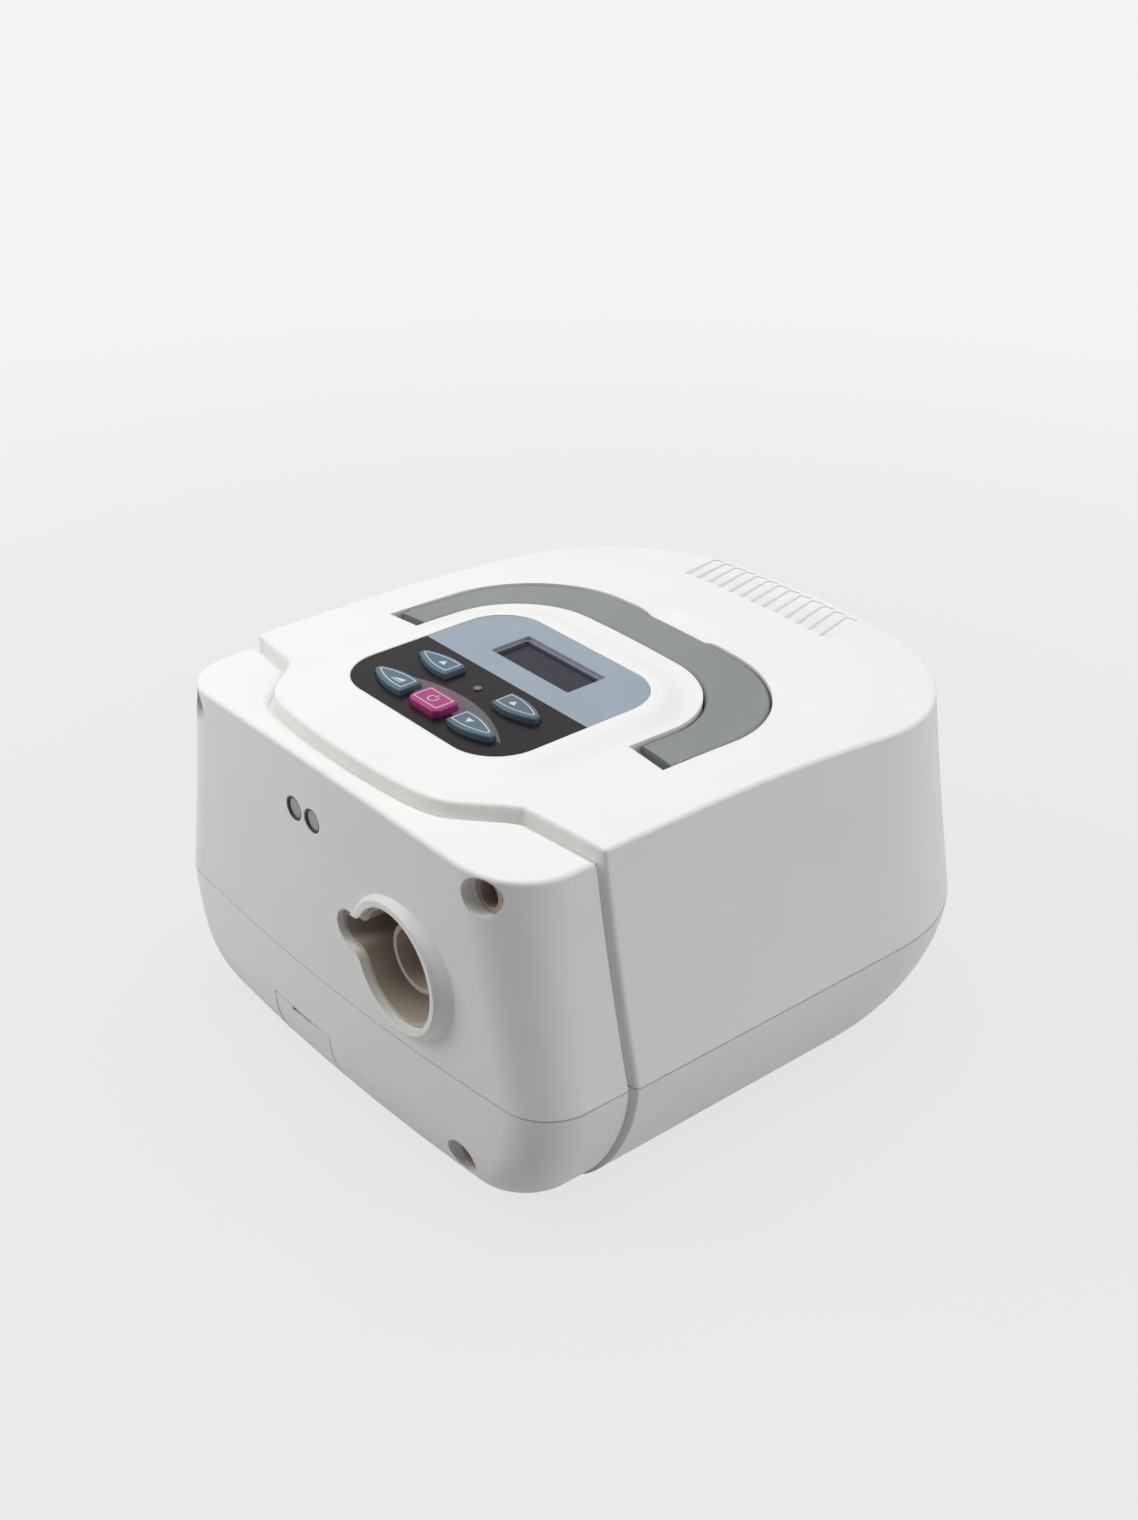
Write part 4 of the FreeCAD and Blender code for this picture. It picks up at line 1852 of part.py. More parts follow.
fuse_middle_z = D.drawer_low_z + D.drawer_height / 2
fuse_start_x = D.inlet_x - D.fuse_length / 2
fuse_y = inlet_face_y - 12
drawer_body = block(
    "drawer_body", D.inlet_x - D.drawer_width / 2, D.inlet_x + D.drawer_width / 2,
    inlet_face_y - D.drawer_length, inlet_face_y + 0.6, D.drawer_low_z, D.drawer_low_z + D.drawer_height)
drawer_grip = block(
    "drawer_grip", D.inlet_x - 4, D.inlet_x + 4, inlet_face_y - 0.6, inlet_face_y + 1.6,
    D.drawer_low_z - 0.1, D.drawer_low_z + 1.4)
fuse_space = rod(
    "fuse_space", D.fuse_radius + D.pin_fit, D.fuse_length + D.drawer_gap * 2, fuse_start_x - D.drawer_gap,
    fuse_y, fuse_middle_z, "x")
fuse_way_in = block(
    "fuse_way_in", fuse_start_x - D.drawer_gap, fuse_start_x + D.fuse_length + D.drawer_gap,
    fuse_y - D.fuse_radius - D.pin_fit, fuse_y + D.fuse_radius + D.pin_fit, fuse_middle_z,
    D.drawer_low_z + D.drawer_height + 1)
fuse_drawer = piece(
    cut("fuse_drawer", joined("drawer_outside", drawer_body, drawer_grip), fuse_space, fuse_way_in),
    "fuse_drawer")
fuse = piece(
    rod("fuse", D.fuse_radius, D.fuse_length, fuse_start_x, fuse_y, fuse_middle_z, "x"), "fuse")

port_face_y = D.back_y - D.port_sunk
port_half, mouth_half = D.port_side / 2, D.port_mouth / 2
mouth_end_y = port_face_y - D.port_mouth_depth
data_port = piece(
    cut(
        "data_port",
        block(
            "port_body", D.port_x - port_half, D.port_x + port_half, port_face_y - D.port_depth, port_face_y,
            D.port_z - port_half, D.port_z + port_half),
        block(
            "port_mouth", D.port_x - mouth_half, D.port_x + mouth_half, mouth_end_y, port_face_y + 1,
            D.port_z - mouth_half, D.port_z + mouth_half)),
    "data_port")
port_tongue = piece(
    block(
        "port_tongue", D.port_x - 2.8, D.port_x + 2.8, mouth_end_y + D.lay_gap, port_face_y - 1.6,
        D.port_z - 1.4, D.port_z + 1.4),
    "port_tongue")


# ---------------------------------------------------------------- boards in the base

main_places = [(x, y) for x, y in BASE_POSTS if float(x) > 0]
power_places = [(x, y) for x, y in BASE_POSTS if float(x) < 0]
main_board = piece(
    drilled_board(
        "main_board", D.base_board_near_x, D.base_board_far_x, D.base_board_front_y, D.base_board_back_y,
        D.base_board_z + D.lay_gap, main_places),
    "main_board")
power_board = piece(
    drilled_board(
        "power_board", -D.base_board_far_x, -D.base_board_near_x, D.base_board_front_y, D.base_board_back_y,
        D.base_board_z + D.lay_gap, power_places),
    "power_board")
on_board_z = D.base_board_z + D.lay_gap * 2 + D.board_thick
board_middle_x = (D.base_board_near_x + D.base_board_far_x) / 2

transformer = piece(
    joined(
        "transformer",
        block(
            "transformer_core", -board_middle_x - 12, -board_middle_x + 12, -14.0, 14.0, on_board_z,
            on_board_z + 20),
        block(
            "transformer_coil", -board_middle_x - 9, -board_middle_x + 9, -18.0, 18.0, on_board_z + 3,
            on_board_z + 17)),
    "transformer")
capacitors = piece(
    group("capacitors", *[
        rod(f"capacitor_{index}", 5.0, 24.0, -board_middle_x + x, y, on_board_z)
        for index, (x, y) in enumerate(((-7.0, -35.0), (6.0, -35.0), (6.0, -24.2)), 1)
    ]),
    "capacitors")
heat_sink = piece(
    joined(
        "heat_sink",
        block(
            "heat_sink_base", -board_middle_x - 11, -board_middle_x + 11, 24.0, 27.0, on_board_z,
            on_board_z + 22),
        *[
            block(
                f"heat_sink_fin_{index}", -board_middle_x + x, -board_middle_x + x + 1.6, 26.0, 36.0,
                on_board_z, on_board_z + 22)
            for index, x in enumerate((-11.0, -6.9, -2.8, 1.3, 5.4, 9.4), 1)
        ]),
    "heat_sink")

processor = piece(
    block("processor", board_middle_x - 7, board_middle_x + 7, 0.0, 14.0, on_board_z, on_board_z + 1.4),
    "processor")

sensor_x, sensor_y = D.base_board_near_x + 8, D.base_board_front_y + 12
pressure_sensor = piece(
    joined(
        "pressure_sensor",
        block(
            "sensor_body", sensor_x - 4, sensor_x + 4, sensor_y - 4, sensor_y + 4, on_board_z, on_board_z + 6),
        rod("sensor_barb", D.barb_radius, 5.5, sensor_x, sensor_y, on_board_z + 5.5)),
    "pressure_sensor")


def sensing_tube_shape():
    """Soft tube from the outlet tube's barb down to the pressure sensor."""
    down = Vector(0, 0, -1)
    start = vec(D.outlet_x, D.tap_y, D.outlet_z - D.tube_shank - 0.3)
    first = start + down * 7
    end = vec(sensor_x, sensor_y, on_board_z + 6.3)
    last = end - down * 7
    bend = Part.BSplineCurve()
    bend.interpolate(Points=[first, last], InitialTangent=down * 30, FinalTangent=down * 30)
    path = Part.Wire([Part.makeLine(start, first), bend.toShape(), Part.makeLine(last, end)])

    def along(radius):
        ring = Part.Wire([Part.makeCircle(float(radius), start, Vector(0, 0, -1))])
        return path.makePipeShell([ring], True, False)

    return along(D.sensing_radius).cut(along(D.barb_radius + D.pin_fit))


sensing_tube = piece(shaped("sensing_tube", sensing_tube_shape()), "sensing_tube")

ribbon_under_z = CONTROL_Z - D.lay_gap
panel_ribbon = piece(
    joined(
        "panel_ribbon",
        block(
            "ribbon_top_plug", D.control_half - 6, D.control_half - 1, D.ribbon_front_y, D.ribbon_back_y,
            ribbon_under_z - 3, ribbon_under_z),
        block(
            "ribbon_top", D.control_half - 2, D.ribbon_x, D.ribbon_front_y + 1, D.ribbon_back_y - 1,
            ribbon_under_z - 2, ribbon_under_z - 2 + D.ribbon_thick),
        block(
            "ribbon_fall", D.ribbon_x - D.ribbon_thick, D.ribbon_x, D.ribbon_front_y + 1, D.ribbon_back_y - 1,
            on_board_z + 2, ribbon_under_z - 2 + D.ribbon_thick),
        block(
            "ribbon_base_plug", D.ribbon_x - 3, D.ribbon_x + 2, D.ribbon_front_y, D.ribbon_back_y,
            on_board_z, on_board_z + 4)),
    "panel_ribbon")


# ---------------------------------------------------------------- feet and screws

rubber_feet = piece(
    group("rubber_feet", *[
        rod(f"rubber_foot_{index}", D.foot_radius, D.foot_height + D.foot_recess - D.lay_gap, x, y, 0.0)
        for index, (x, y) in enumerate(FOOT_PLACES, 1)
    ]),
    "rubber_feet")


def housing_screw(name, x, y):
    """Screw from below: its head in a deep seat, its shank up into the upper housing."""
    seat_z = D.screw_seat_z - D.lay_gap
    head = rod(f"{name}_head", D.screw_head, D.screw_head_height, x, y, seat_z - D.screw_head_height)
    shank = rod(f"{name}_shank", D.screw_radius, D.screw_length + 0.5, x, y, seat_z - 0.5)
    return joined(name, head, shank)


def front_screw(name, x, z):
    """Screw at the bottom of a well: its head on the bushing's floor, its shank through the well's floor."""
    seat_y = D.well_end_y - D.bushing_floor - D.lay_gap
    head = rod(f"{name}_head", D.screw_head, D.screw_head_height, x, seat_y - D.screw_head_height, z, "y")
    shank = rod(f"{name}_shank", D.screw_radius, WELL_FLOOR_Y + 3.5 - seat_y, x, seat_y - 0.5, z, "y")
    return joined(name, head, shank)


def board_screw(name, x, y, head_z, shank_z, shank_length):
    head = rod(f"{name}_head", D.board_screw_head, D.board_screw_height, x, y, head_z)
    shank = rod(f"{name}_shank", D.board_screw, shank_length, x, y, shank_z)
    return joined(name, head, shank)


housing_screws = piece(
    group("housing_screws", *[
        housing_screw(f"housing_screw_{index}", x, y) for index, (x, y) in enumerate(SCREW_PLACES, 1)
    ]),
    "housing_screws")
front_screws = piece(
    group("front_screws", *[
        front_screw(f"front_screw_{index}", x, z) for index, (x, z) in enumerate(WELLS, 1)
    ]),
    "front_screws")
under_control_z = CONTROL_Z - D.lay_gap
board_screws = piece(
    group("board_screws", *[
        board_screw(f"base_board_screw_{index}", x, y, on_board_z, on_board_z - 6.5, 7.0)
        for index, (x, y) in enumerate(BASE_POSTS, 1)
    ], *[
        board_screw(
            f"control_board_screw_{index}", x, y, under_control_z - D.board_screw_height,
            under_control_z - 0.5, 7.5)
        for index, (x, y) in enumerate(CONTROL_POSTS, 1)
    ]),
    "board_screws")


# ---------------------------------------------------------------- writing the parts

def write_parts():
    doc.recompute()
    for obj in doc.Objects:
        if "Invalid" in obj.State or "Error" in obj.State:
            raise RuntimeError(f"{obj.Name} did not build: {obj.State}")
    for obj in PIECES:
        if obj.Shape.isNull() or not obj.Shape.isValid():
            raise RuntimeError(f"{obj.Label} has no valid shape")
    os.makedirs("parts", exist_ok=True)
    for obj in PIECES:
        obj.Shape.exportStep(f"parts/{obj.Label}.step")
        print(obj.Label, len(obj.Shape.Solids), round(obj.Shape.Volume))


write_parts()
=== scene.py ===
import math

import bmesh
import bpy
from mathutils import Matrix, Vector


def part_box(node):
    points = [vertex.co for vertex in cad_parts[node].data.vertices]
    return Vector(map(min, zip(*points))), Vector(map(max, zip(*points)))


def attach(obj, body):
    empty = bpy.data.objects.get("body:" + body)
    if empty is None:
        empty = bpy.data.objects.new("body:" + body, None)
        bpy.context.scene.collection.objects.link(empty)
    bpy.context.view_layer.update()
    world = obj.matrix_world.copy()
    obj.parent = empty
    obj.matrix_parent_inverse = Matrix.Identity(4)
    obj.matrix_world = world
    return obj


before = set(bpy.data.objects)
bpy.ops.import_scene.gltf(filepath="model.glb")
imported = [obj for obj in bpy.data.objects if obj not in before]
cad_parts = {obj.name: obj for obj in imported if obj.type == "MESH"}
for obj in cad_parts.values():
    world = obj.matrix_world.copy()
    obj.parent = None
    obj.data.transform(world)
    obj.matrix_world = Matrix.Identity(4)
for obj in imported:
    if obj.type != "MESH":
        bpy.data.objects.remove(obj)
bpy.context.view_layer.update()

MM = 0.001
NOISE_LOW = 0.3
NOISE_HIGH = 0.7


# ---------------------------------------------------------------- camera

LOOK_DOWN = 31.11
LOOK_ROUND = 50.12


def make_camera():
    """Looks down on the front right corner of the machine through a 50 mm lens."""
    data = bpy.data.cameras.new("camera")
    data.lens = 50.02
    data.sensor_width = 36.0
    data.sensor_fit = "AUTO"
    data.shift_y = 0.0342
    data.clip_start = 0.01
    data.clip_end = 50.0
    camera = bpy.data.objects.new("camera", data)
    camera.location = (0.4437, -0.3780, 0.4192)
    camera.rotation_euler = (math.radians(90 - LOOK_DOWN), 0.0, math.radians(LOOK_ROUND))
    bpy.context.scene.collection.objects.link(camera)
    bpy.context.scene.camera = camera


make_camera()


# ---------------------------------------------------------------- nodes and colours

def linear(code):
    """Linear colour of an sRGB hex value."""
    channels = [int(code[index:index + 2], 16) / 255 for index in (1, 3, 5)]
    return tuple(
        value / 12.92 if value <= 0.04045 else ((value + 0.055) / 1.055) ** 2.4 for value in channels
    ) + (1.0,)


def add(tree, kind, settings=None, links=None):
    """Add a node, set its properties or socket values, and link sources into its sockets."""
    node = tree.nodes.new(kind)
    for name, value in (settings or {}).items():
        if isinstance(name, str) and hasattr(node, name):
            setattr(node, name, value)
        else:
            node.inputs[name].default_value = value
    for name, source in (links or {}).items():
        tree.links.new(source, node.inputs[name])
    return node


def new_material(name):
    material = bpy.data.materials.new(name)
    material.use_nodes = True
    tree = material.node_tree
    tree.nodes.clear()
    return material, tree


def finish_surface(tree, shader):
    add(tree, "ShaderNodeOutputMaterial", links={"Surface": shader})


def place_of(tree, scale=(1.0, 1.0, 1.0)):
    """Object coordinates in metres, scaled."""
    coordinates = add(tree, "ShaderNodeTexCoord")
    mapping = add(tree, "ShaderNodeMapping", {"Scale": scale}, {"Vector": coordinates.outputs["Object"]})
    return mapping.outputs["Vector"]


def noise(tree, place, size_mm, detail=2.0, roughness=0.5):
    """Noise whose blobs are about size_mm across."""
    return add(
        tree, "ShaderNodeTexNoise",
        {"Scale": 1.0 / (size_mm * MM), "Detail": detail, "Roughness": roughness},
        {"Vector": place}).outputs["Fac"]


def between(tree, factor, low, high):
    """Value that runs from low to high as factor runs over the middle of a noise."""
    return add(
        tree, "ShaderNodeMapRange",
        {"From Min": NOISE_LOW, "From Max": NOISE_HIGH, "To Min": low, "To Max": high},
        {"Value": factor}).outputs["Result"]


def mixed(tree, factor, first, second):
    """Colour between two colours; each is a socket or a colour."""
    node = add(tree, "ShaderNodeMix", {"data_type": "RGBA"})
    if isinstance(factor, float):
        node.inputs["Factor"].default_value = factor
    else:
        tree.links.new(factor, node.inputs["Factor"])
    for socket, colour in ((node.inputs[6], first), (node.inputs[7], second)):
        if isinstance(colour, tuple):
            socket.default_value = colour
        else:
            tree.links.new(colour, socket)
    return node.outputs[2]


def moulded(name, colour, shade, rough_low, rough_high, grain_mm, grain_depth_mm, ior=1.49, edge_mm=0.3):
    """Moulded plastic or rubber: nearly even colour, a fine mould grain and a slightly wandering roughness.

    Edges catch the light as if rounded by edge_mm, as a mould leaves them.
    """
    material, tree = new_material(name)
    place = place_of(tree)
    cloud = noise(tree, place, 38.0, 3.0)
    grain = noise(tree, place, grain_mm, 2.0, 0.6)
    base = mixed(tree, between(tree, cloud, 0.0, 1.0), linear(colour), linear(shade))
    soft_edge = add(tree, "ShaderNodeBevel", {"samples": 4, "Radius": edge_mm * MM})
    bump = add(
        tree, "ShaderNodeBump", {"Strength": 0.5, "Distance": grain_depth_mm * MM},
        {"Height": grain, "Normal": soft_edge.outputs["Normal"]})
    shader = add(
        tree, "ShaderNodeBsdfPrincipled", {"IOR": ior},
        {
            "Base Color": base,
            "Roughness": between(tree, noise(tree, place, 9.0, 3.0), rough_low, rough_high),
            "Normal": bump.outputs["Normal"],
        })
    finish_surface(tree, shader.outputs["BSDF"])
    return material


def metal(name, colour, rough_low, rough_high, streaks=(1.0, 1.0, 1.0)):
    """Bare or plated metal with fine streaks along its working direction."""
    material, tree = new_material(name)
    place = place_of(tree, streaks)
    lines = noise(tree, place, 0.5, 2.0, 0.6)
    bump = add(tree, "ShaderNodeBump", {"Strength": 0.3, "Distance": 0.02 * MM}, {"Height": lines})
    shader = add(
        tree, "ShaderNodeBsdfPrincipled", {"Base Color": linear(colour), "Metallic": 1.0},
        {"Roughness": between(tree, lines, rough_low, rough_high), "Normal": bump.outputs["Normal"]})
    finish_surface(tree, shader.outputs["BSDF"])
    return material


# ---------------------------------------------------------------- materials

# Injection-moulded ABS with a fine spark-eroded grain: satin, very slightly warm white.
# The real grain is about 0.1 mm and is drawn at 0.7 mm so that it just breaks up the highlights.
white_abs = moulded("white_abs_moulded", "#efefec", "#ececea", 0.40, 0.50, 0.7, 0.012, edge_mm=0.7)

# The handle is the same ABS in mid grey, a little smoother where hands polish it.
grey_abs = moulded("grey_abs_moulded", "#828687", "#7c8081", 0.36, 0.46, 0.7, 0.010)

# Natural polycarbonate of the air outlet: beige, smoother inside the bore.
beige_polycarbonate = moulded(
    "beige_polycarbonate_moulded", "#bcb1a1", "#b3a797", 0.38, 0.50, 0.8, 0.012, 1.58)

# Keys of pigmented silicone rubber: soft sheen, faintly mottled.
slate_silicone = moulded("slate_silicone_keys", "#51697a", "#4a6272", 0.36, 0.46, 0.5, 0.010, 1.43)
magenta_silicone = moulded("magenta_silicone_key", "#a82f78", "#9f2a70", 0.34, 0.44, 0.5, 0.010, 1.43)

# White legend ink on the keys: thin, matt, with slightly uneven cover.
legend_ink = moulded("white_legend_ink", "#d8dee0", "#c9d1d4", 0.55, 0.65, 0.3, 0.004, 1.5)

# Black glass-filled nylon of sockets, drawers and card reader.
black_nylon = moulded("black_nylon_moulded", "#1b1b1c", "#202021", 0.42, 0.56, 0.6, 0.015, 1.53)

# Beige-brown nylon of the bushings in the front's screw wells.
brown_nylon = moulded("brown_nylon_moulded", "#ab998d", "#a28f83", 0.44, 0.56, 0.6, 0.015, 1.53)

# Natural polypropylene of the blower casing, silencer and filter box.
natural_polypropylene = moulded("natural_polypropylene", "#cfcfca", "#c8c8c2", 0.44, 0.56, 0.9, 0.015)

# White polybutylene body of the data socket.
white_socket = moulded("white_socket_plastic", "#deded8", "#d6d6cf", 0.40, 0.50, 0.6, 0.012, 1.52)

# Soft black rubber of the mounts and the coupling, and grey rubber feet with a matt bloom.
black_rubber = moulded("black_rubber_moulded", "#242426", "#2a2a2c", 0.62, 0.76, 0.9, 0.025, 1.52)
grey_rubber = moulded("grey_rubber_feet", "#5b5c5e", "#636466", 0.62, 0.76, 0.9, 0.025, 1.52)

# Translucent silicone tube, milky with a soft sheen.
milky_silicone = moulded("milky_silicone_tube", "#dadad4", "#d0d0c9", 0.32, 0.42, 0.8, 0.008, 1.41)

# Glass-fibre circuit board under green solder mask: glossy lacquer over faint weave.
solder_mask = moulded("green_solder_mask", "#1c5134", "#18472e", 0.22, 0.34, 0.6, 0.010, 1.55)

# Varnished paper tape round the transformer's winding.
winding_tape = moulded("amber_winding_tape", "#b98f35", "#a67d2c", 0.36, 0.50, 1.4, 0.020, 1.5)

# Flat ribbon cable: pale grey PVC.
ribbon_vinyl = moulded("grey_ribbon_vinyl", "#cbcbc6", "#c2c2bd", 0.36, 0.46, 1.2, 0.015, 1.53)

# Black enamel on the motor's steel can.
black_enamel = moulded("black_enamel_can", "#2c2c2e", "#313133", 0.26, 0.36, 1.0, 0.008, 1.5)

# Glazed ceramic tube of the fuse.
fuse_ceramic = moulded("white_fuse_ceramic", "#e0ddd3", "#d8d5ca", 0.16, 0.26, 1.5, 0.004, 1.55)

# Turned steel pins, shaft and inner screws, bronzed screws in the front's wells, extruded aluminium,
# and nickel-plated contacts.
turned_steel = metal("turned_steel", "#b5b5b6", 0.24, 0.40)
bronzed_steel = metal("bronzed_steel_screws", "#6d5b4e", 0.34, 0.48)
extruded_aluminium = metal("extruded_aluminium", "#c6c8ca", 0.30, 0.44, (1.0, 1.0, 0.1))
plated_contact = metal("nickel_plated_contact", "#9a9a96", 0.30, 0.42)


FOAM_CELL = 1.1


def open_foam():
    """Reticulated polyurethane foam: dark grey, matt, with cells about 1 mm across whose openings carry
    painted shade.
    """
    material, tree = new_material("reticulated_foam")
    place = place_of(tree)
    cells = add(
        tree, "ShaderNodeTexVoronoi", {"feature": "DISTANCE_TO_EDGE", "Scale": 1.0 / (FOAM_CELL * MM)},
        {"Vector": place})
    depth = add(
        tree, "ShaderNodeMapRange", {"From Min": 0.0, "From Max": 0.25, "To Min": 1.0, "To Max": 0.0},
        {"Value": cells.outputs["Distance"]}).outputs["Result"]
    bump = add(tree, "ShaderNodeBump", {"Strength": 0.9, "Distance": 0.4 * MM}, {"Height": depth})
    # Painted shade: the sunken cell openings are coloured near-black and the raised struts mid grey.
    base = mixed(tree, depth, linear("#1d1e20"), linear("#55585c"))
    shader = add(
        tree, "ShaderNodeBsdfPrincipled", {"Roughness": 0.9, "Specular IOR Level": 0.2},
        {"Base Color": base, "Normal": bump.outputs["Normal"]})
    finish_surface(tree, shader.outputs["BSDF"])
    return material


def math_node(tree, operation, first, second=0.0):
    """Result of one arithmetic step; each side is a socket or a number."""
    node = add(tree, "ShaderNodeMath", {"operation": operation})
    for socket, value in ((node.inputs[0], first), (node.inputs[1], second)):
        if isinstance(value, (int, float)):
            socket.default_value = value
        else:
            tree.links.new(value, socket)
    return node.outputs["Value"]


def step_over(tree, value, edge, soft):
    """0 below an edge and 1 above it, with a thin soft border."""
    return add(
        tree, "ShaderNodeMapRange",
        {"From Min": edge - soft, "From Max": edge + soft, "To Min": 0.0, "To Max": 1.0}, {"Value": value}
    ).outputs["Result"]


def coordinates_mm(tree):
    """X, Y and Z of the object's own space in millimetres."""
    place = place_of(tree, (1000.0, 1000.0, 1000.0))
    parts = add(tree, "ShaderNodeSeparateXYZ", links={"Vector": place})
    return parts.outputs["X"], parts.outputs["Y"], parts.outputs["Z"]


PRINT_SOFT = 0.12


def disc(tree, x, y, centre, radius):
    """1 inside a circle of the panel and 0 outside it, in millimetres."""
    across = math_node(tree, "SUBTRACT", x, centre[0])
    along = math_node(tree, "SUBTRACT", y, centre[1])
    squares = math_node(
        tree, "ADD", math_node(tree, "MULTIPLY", across, across), math_node(tree, "MULTIPLY", along, along))
    distance = math_node(tree, "SQRT", squares)
    return math_node(tree, "SUBTRACT", 1.0, step_over(tree, distance, radius, PRINT_SOFT))


# Print on the panel, in millimetres: where the blue-grey begins, and the circle and straight edge
# of the lens-shaped tint.
DIVIDER_Y = -32.5
LENS_MIDDLE = (0.5, -99.5)
LENS_RADIUS = 51.2
LENS_FRONT_Y = -57.5


def panel_film():
    """Polycarbonate film printed from behind: near-black in front, blue-grey behind, and a lens-shaped tint.

    The film is hard-coated, so reflections are sharp with a faint orange peel.
    """
    material, tree = new_material("printed_polycarbonate_film")
    x, y, _ = coordinates_mm(tree)
    place = place_of(tree)
    wander = noise(tree, place, 24.0, 3.0)
    black = mixed(tree, between(tree, wander, 0.0, 1.0), linear("#171313"), linear("#1d1818"))
    blue = mixed(tree, between(tree, wander, 0.0, 1.0), linear("#9aa8b4"), linear("#93a1ae"))
    lens = math_node(
        tree, "MULTIPLY", disc(tree, x, y, LENS_MIDDLE, LENS_RADIUS),
        step_over(tree, y, LENS_FRONT_Y, PRINT_SOFT))
    tinted = mixed(tree, lens, black, linear("#6a6066"))
    base = mixed(tree, step_over(tree, y, DIVIDER_Y, 0.08), tinted, blue)
    peel = noise(tree, place, 4.0, 2.0)
    bump = add(tree, "ShaderNodeBump", {"Strength": 0.12, "Distance": 0.02 * MM}, {"Height": peel})
    shader = add(
        tree, "ShaderNodeBsdfPrincipled", {"IOR": 1.5, "Specular IOR Level": 0.14},
        {
            "Base Color": base,
            "Roughness": between(tree, noise(tree, place, 7.0, 3.0), 0.20, 0.28),
            "Normal": bump.outputs["Normal"],
        })
    finish_surface(tree, shader.outputs["BSDF"])
    return material


# The clear part of the display's pane, in millimetres.
PANE_HALF_WIDTH = 17.3
PANE_FRONT_Y = -22.3
PANE_BACK_Y = -9.5
PANE_SOFT = 0.1


def inside_window(tree):
    """1 inside the clear part of the display's pane and 0 outside it."""
    x, y, _ = coordinates_mm(tree)
    across = math_node(tree, "ABSOLUTE", x)
    beside = math_node(tree, "SUBTRACT", 1.0, step_over(tree, across, PANE_HALF_WIDTH, PANE_SOFT))
    behind = math_node(tree, "SUBTRACT", 1.0, step_over(tree, y, PANE_BACK_Y, PANE_SOFT))
    ahead = step_over(tree, y, PANE_FRONT_Y, PANE_SOFT)
    return math_node(tree, "MULTIPLY", beside, math_node(tree, "MULTIPLY", behind, ahead))


def window_pane():
    """Clear acrylic pane, printed pale grey round its edge."""
    material, tree = new_material("printed_acrylic_pane")
    straight = add(tree, "ShaderNodeBsdfTransparent", {"Color": linear("#f0f2f6")})
    sheen = add(tree, "ShaderNodeBsdfGlossy", {"Color": linear("#ffffff"), "Roughness": 0.06})
    clear = add(
        tree, "ShaderNodeMixShader", {0: 0.025}, {1: straight.outputs["BSDF"], 2: sheen.outputs["BSDF"]})
    place = place_of(tree)
    print_shade = mixed(tree, noise(tree, place, 6.0), linear("#7d7b84"), linear("#86848d"))
    printed = add(
        tree, "ShaderNodeBsdfPrincipled", {"Roughness": 0.3, "IOR": 1.49}, {"Base Color": print_shade})
    shown = inside_window(tree)
    both = add(
        tree, "ShaderNodeMixShader", links={0: shown, 1: printed.outputs["BSDF"], 2: clear.outputs["Shader"]})
    finish_surface(tree, both.outputs["Shader"])
    return material


ROW_PITCH = 3.3
WAVE_TURN = 6.28
GLASS_Z = 121.5


def liquid_crystal():
    """Unlit liquid-crystal display: dark violet-grey glass in a grey frame, with faint segment rows."""
    material, tree = new_material("liquid_crystal_glass")
    z = coordinates_mm(tree)[2]
    place = place_of(tree)
    rows = add(
        tree, "ShaderNodeTexWave",
        {"wave_type": "BANDS", "bands_direction": "Y", "Scale": 1.0 / (ROW_PITCH * MM) / WAVE_TURN},
        {"Vector": place})
    face = mixed(tree, between(tree, rows.outputs["Fac"], 0.0, 0.35), linear("#211d29"), linear("#29242f"))
    height = step_over(tree, z, GLASS_Z, 0.05)
    base = mixed(tree, height, linear("#232326"), face)
    shader = add(
        tree, "ShaderNodeBsdfPrincipled", {"IOR": 1.45, "Specular IOR Level": 0.15},
        {"Base Color": base, "Roughness": between(tree, noise(tree, place, 5.0), 0.24, 0.34)})
    finish_surface(tree, shader.outputs["BSDF"])
    return material


def lamp_lens():
    """Water-clear epoxy of the indicator light, unlit: smoky with a bright rim."""
    material, tree = new_material("smoky_epoxy_lens")
    place = place_of(tree)
    shader = add(
        tree, "ShaderNodeBsdfPrincipled", {"IOR": 1.55, "Coat Weight": 0.6, "Coat Roughness": 0.05},
        {
            "Base Color": mixed(tree, noise(tree, place, 1.2), linear("#4c4745"), linear("#5c5653")),
            "Roughness": between(tree, noise(tree, place, 2.0), 0.12, 0.22),
        })
    finish_surface(tree, shader.outputs["BSDF"])
    return material


foam = open_foam()
film = panel_film()
pane = window_pane()
display = liquid_crystal()
light_lens = lamp_lens()


# ---------------------------------------------------------------- painting the frame's nodes

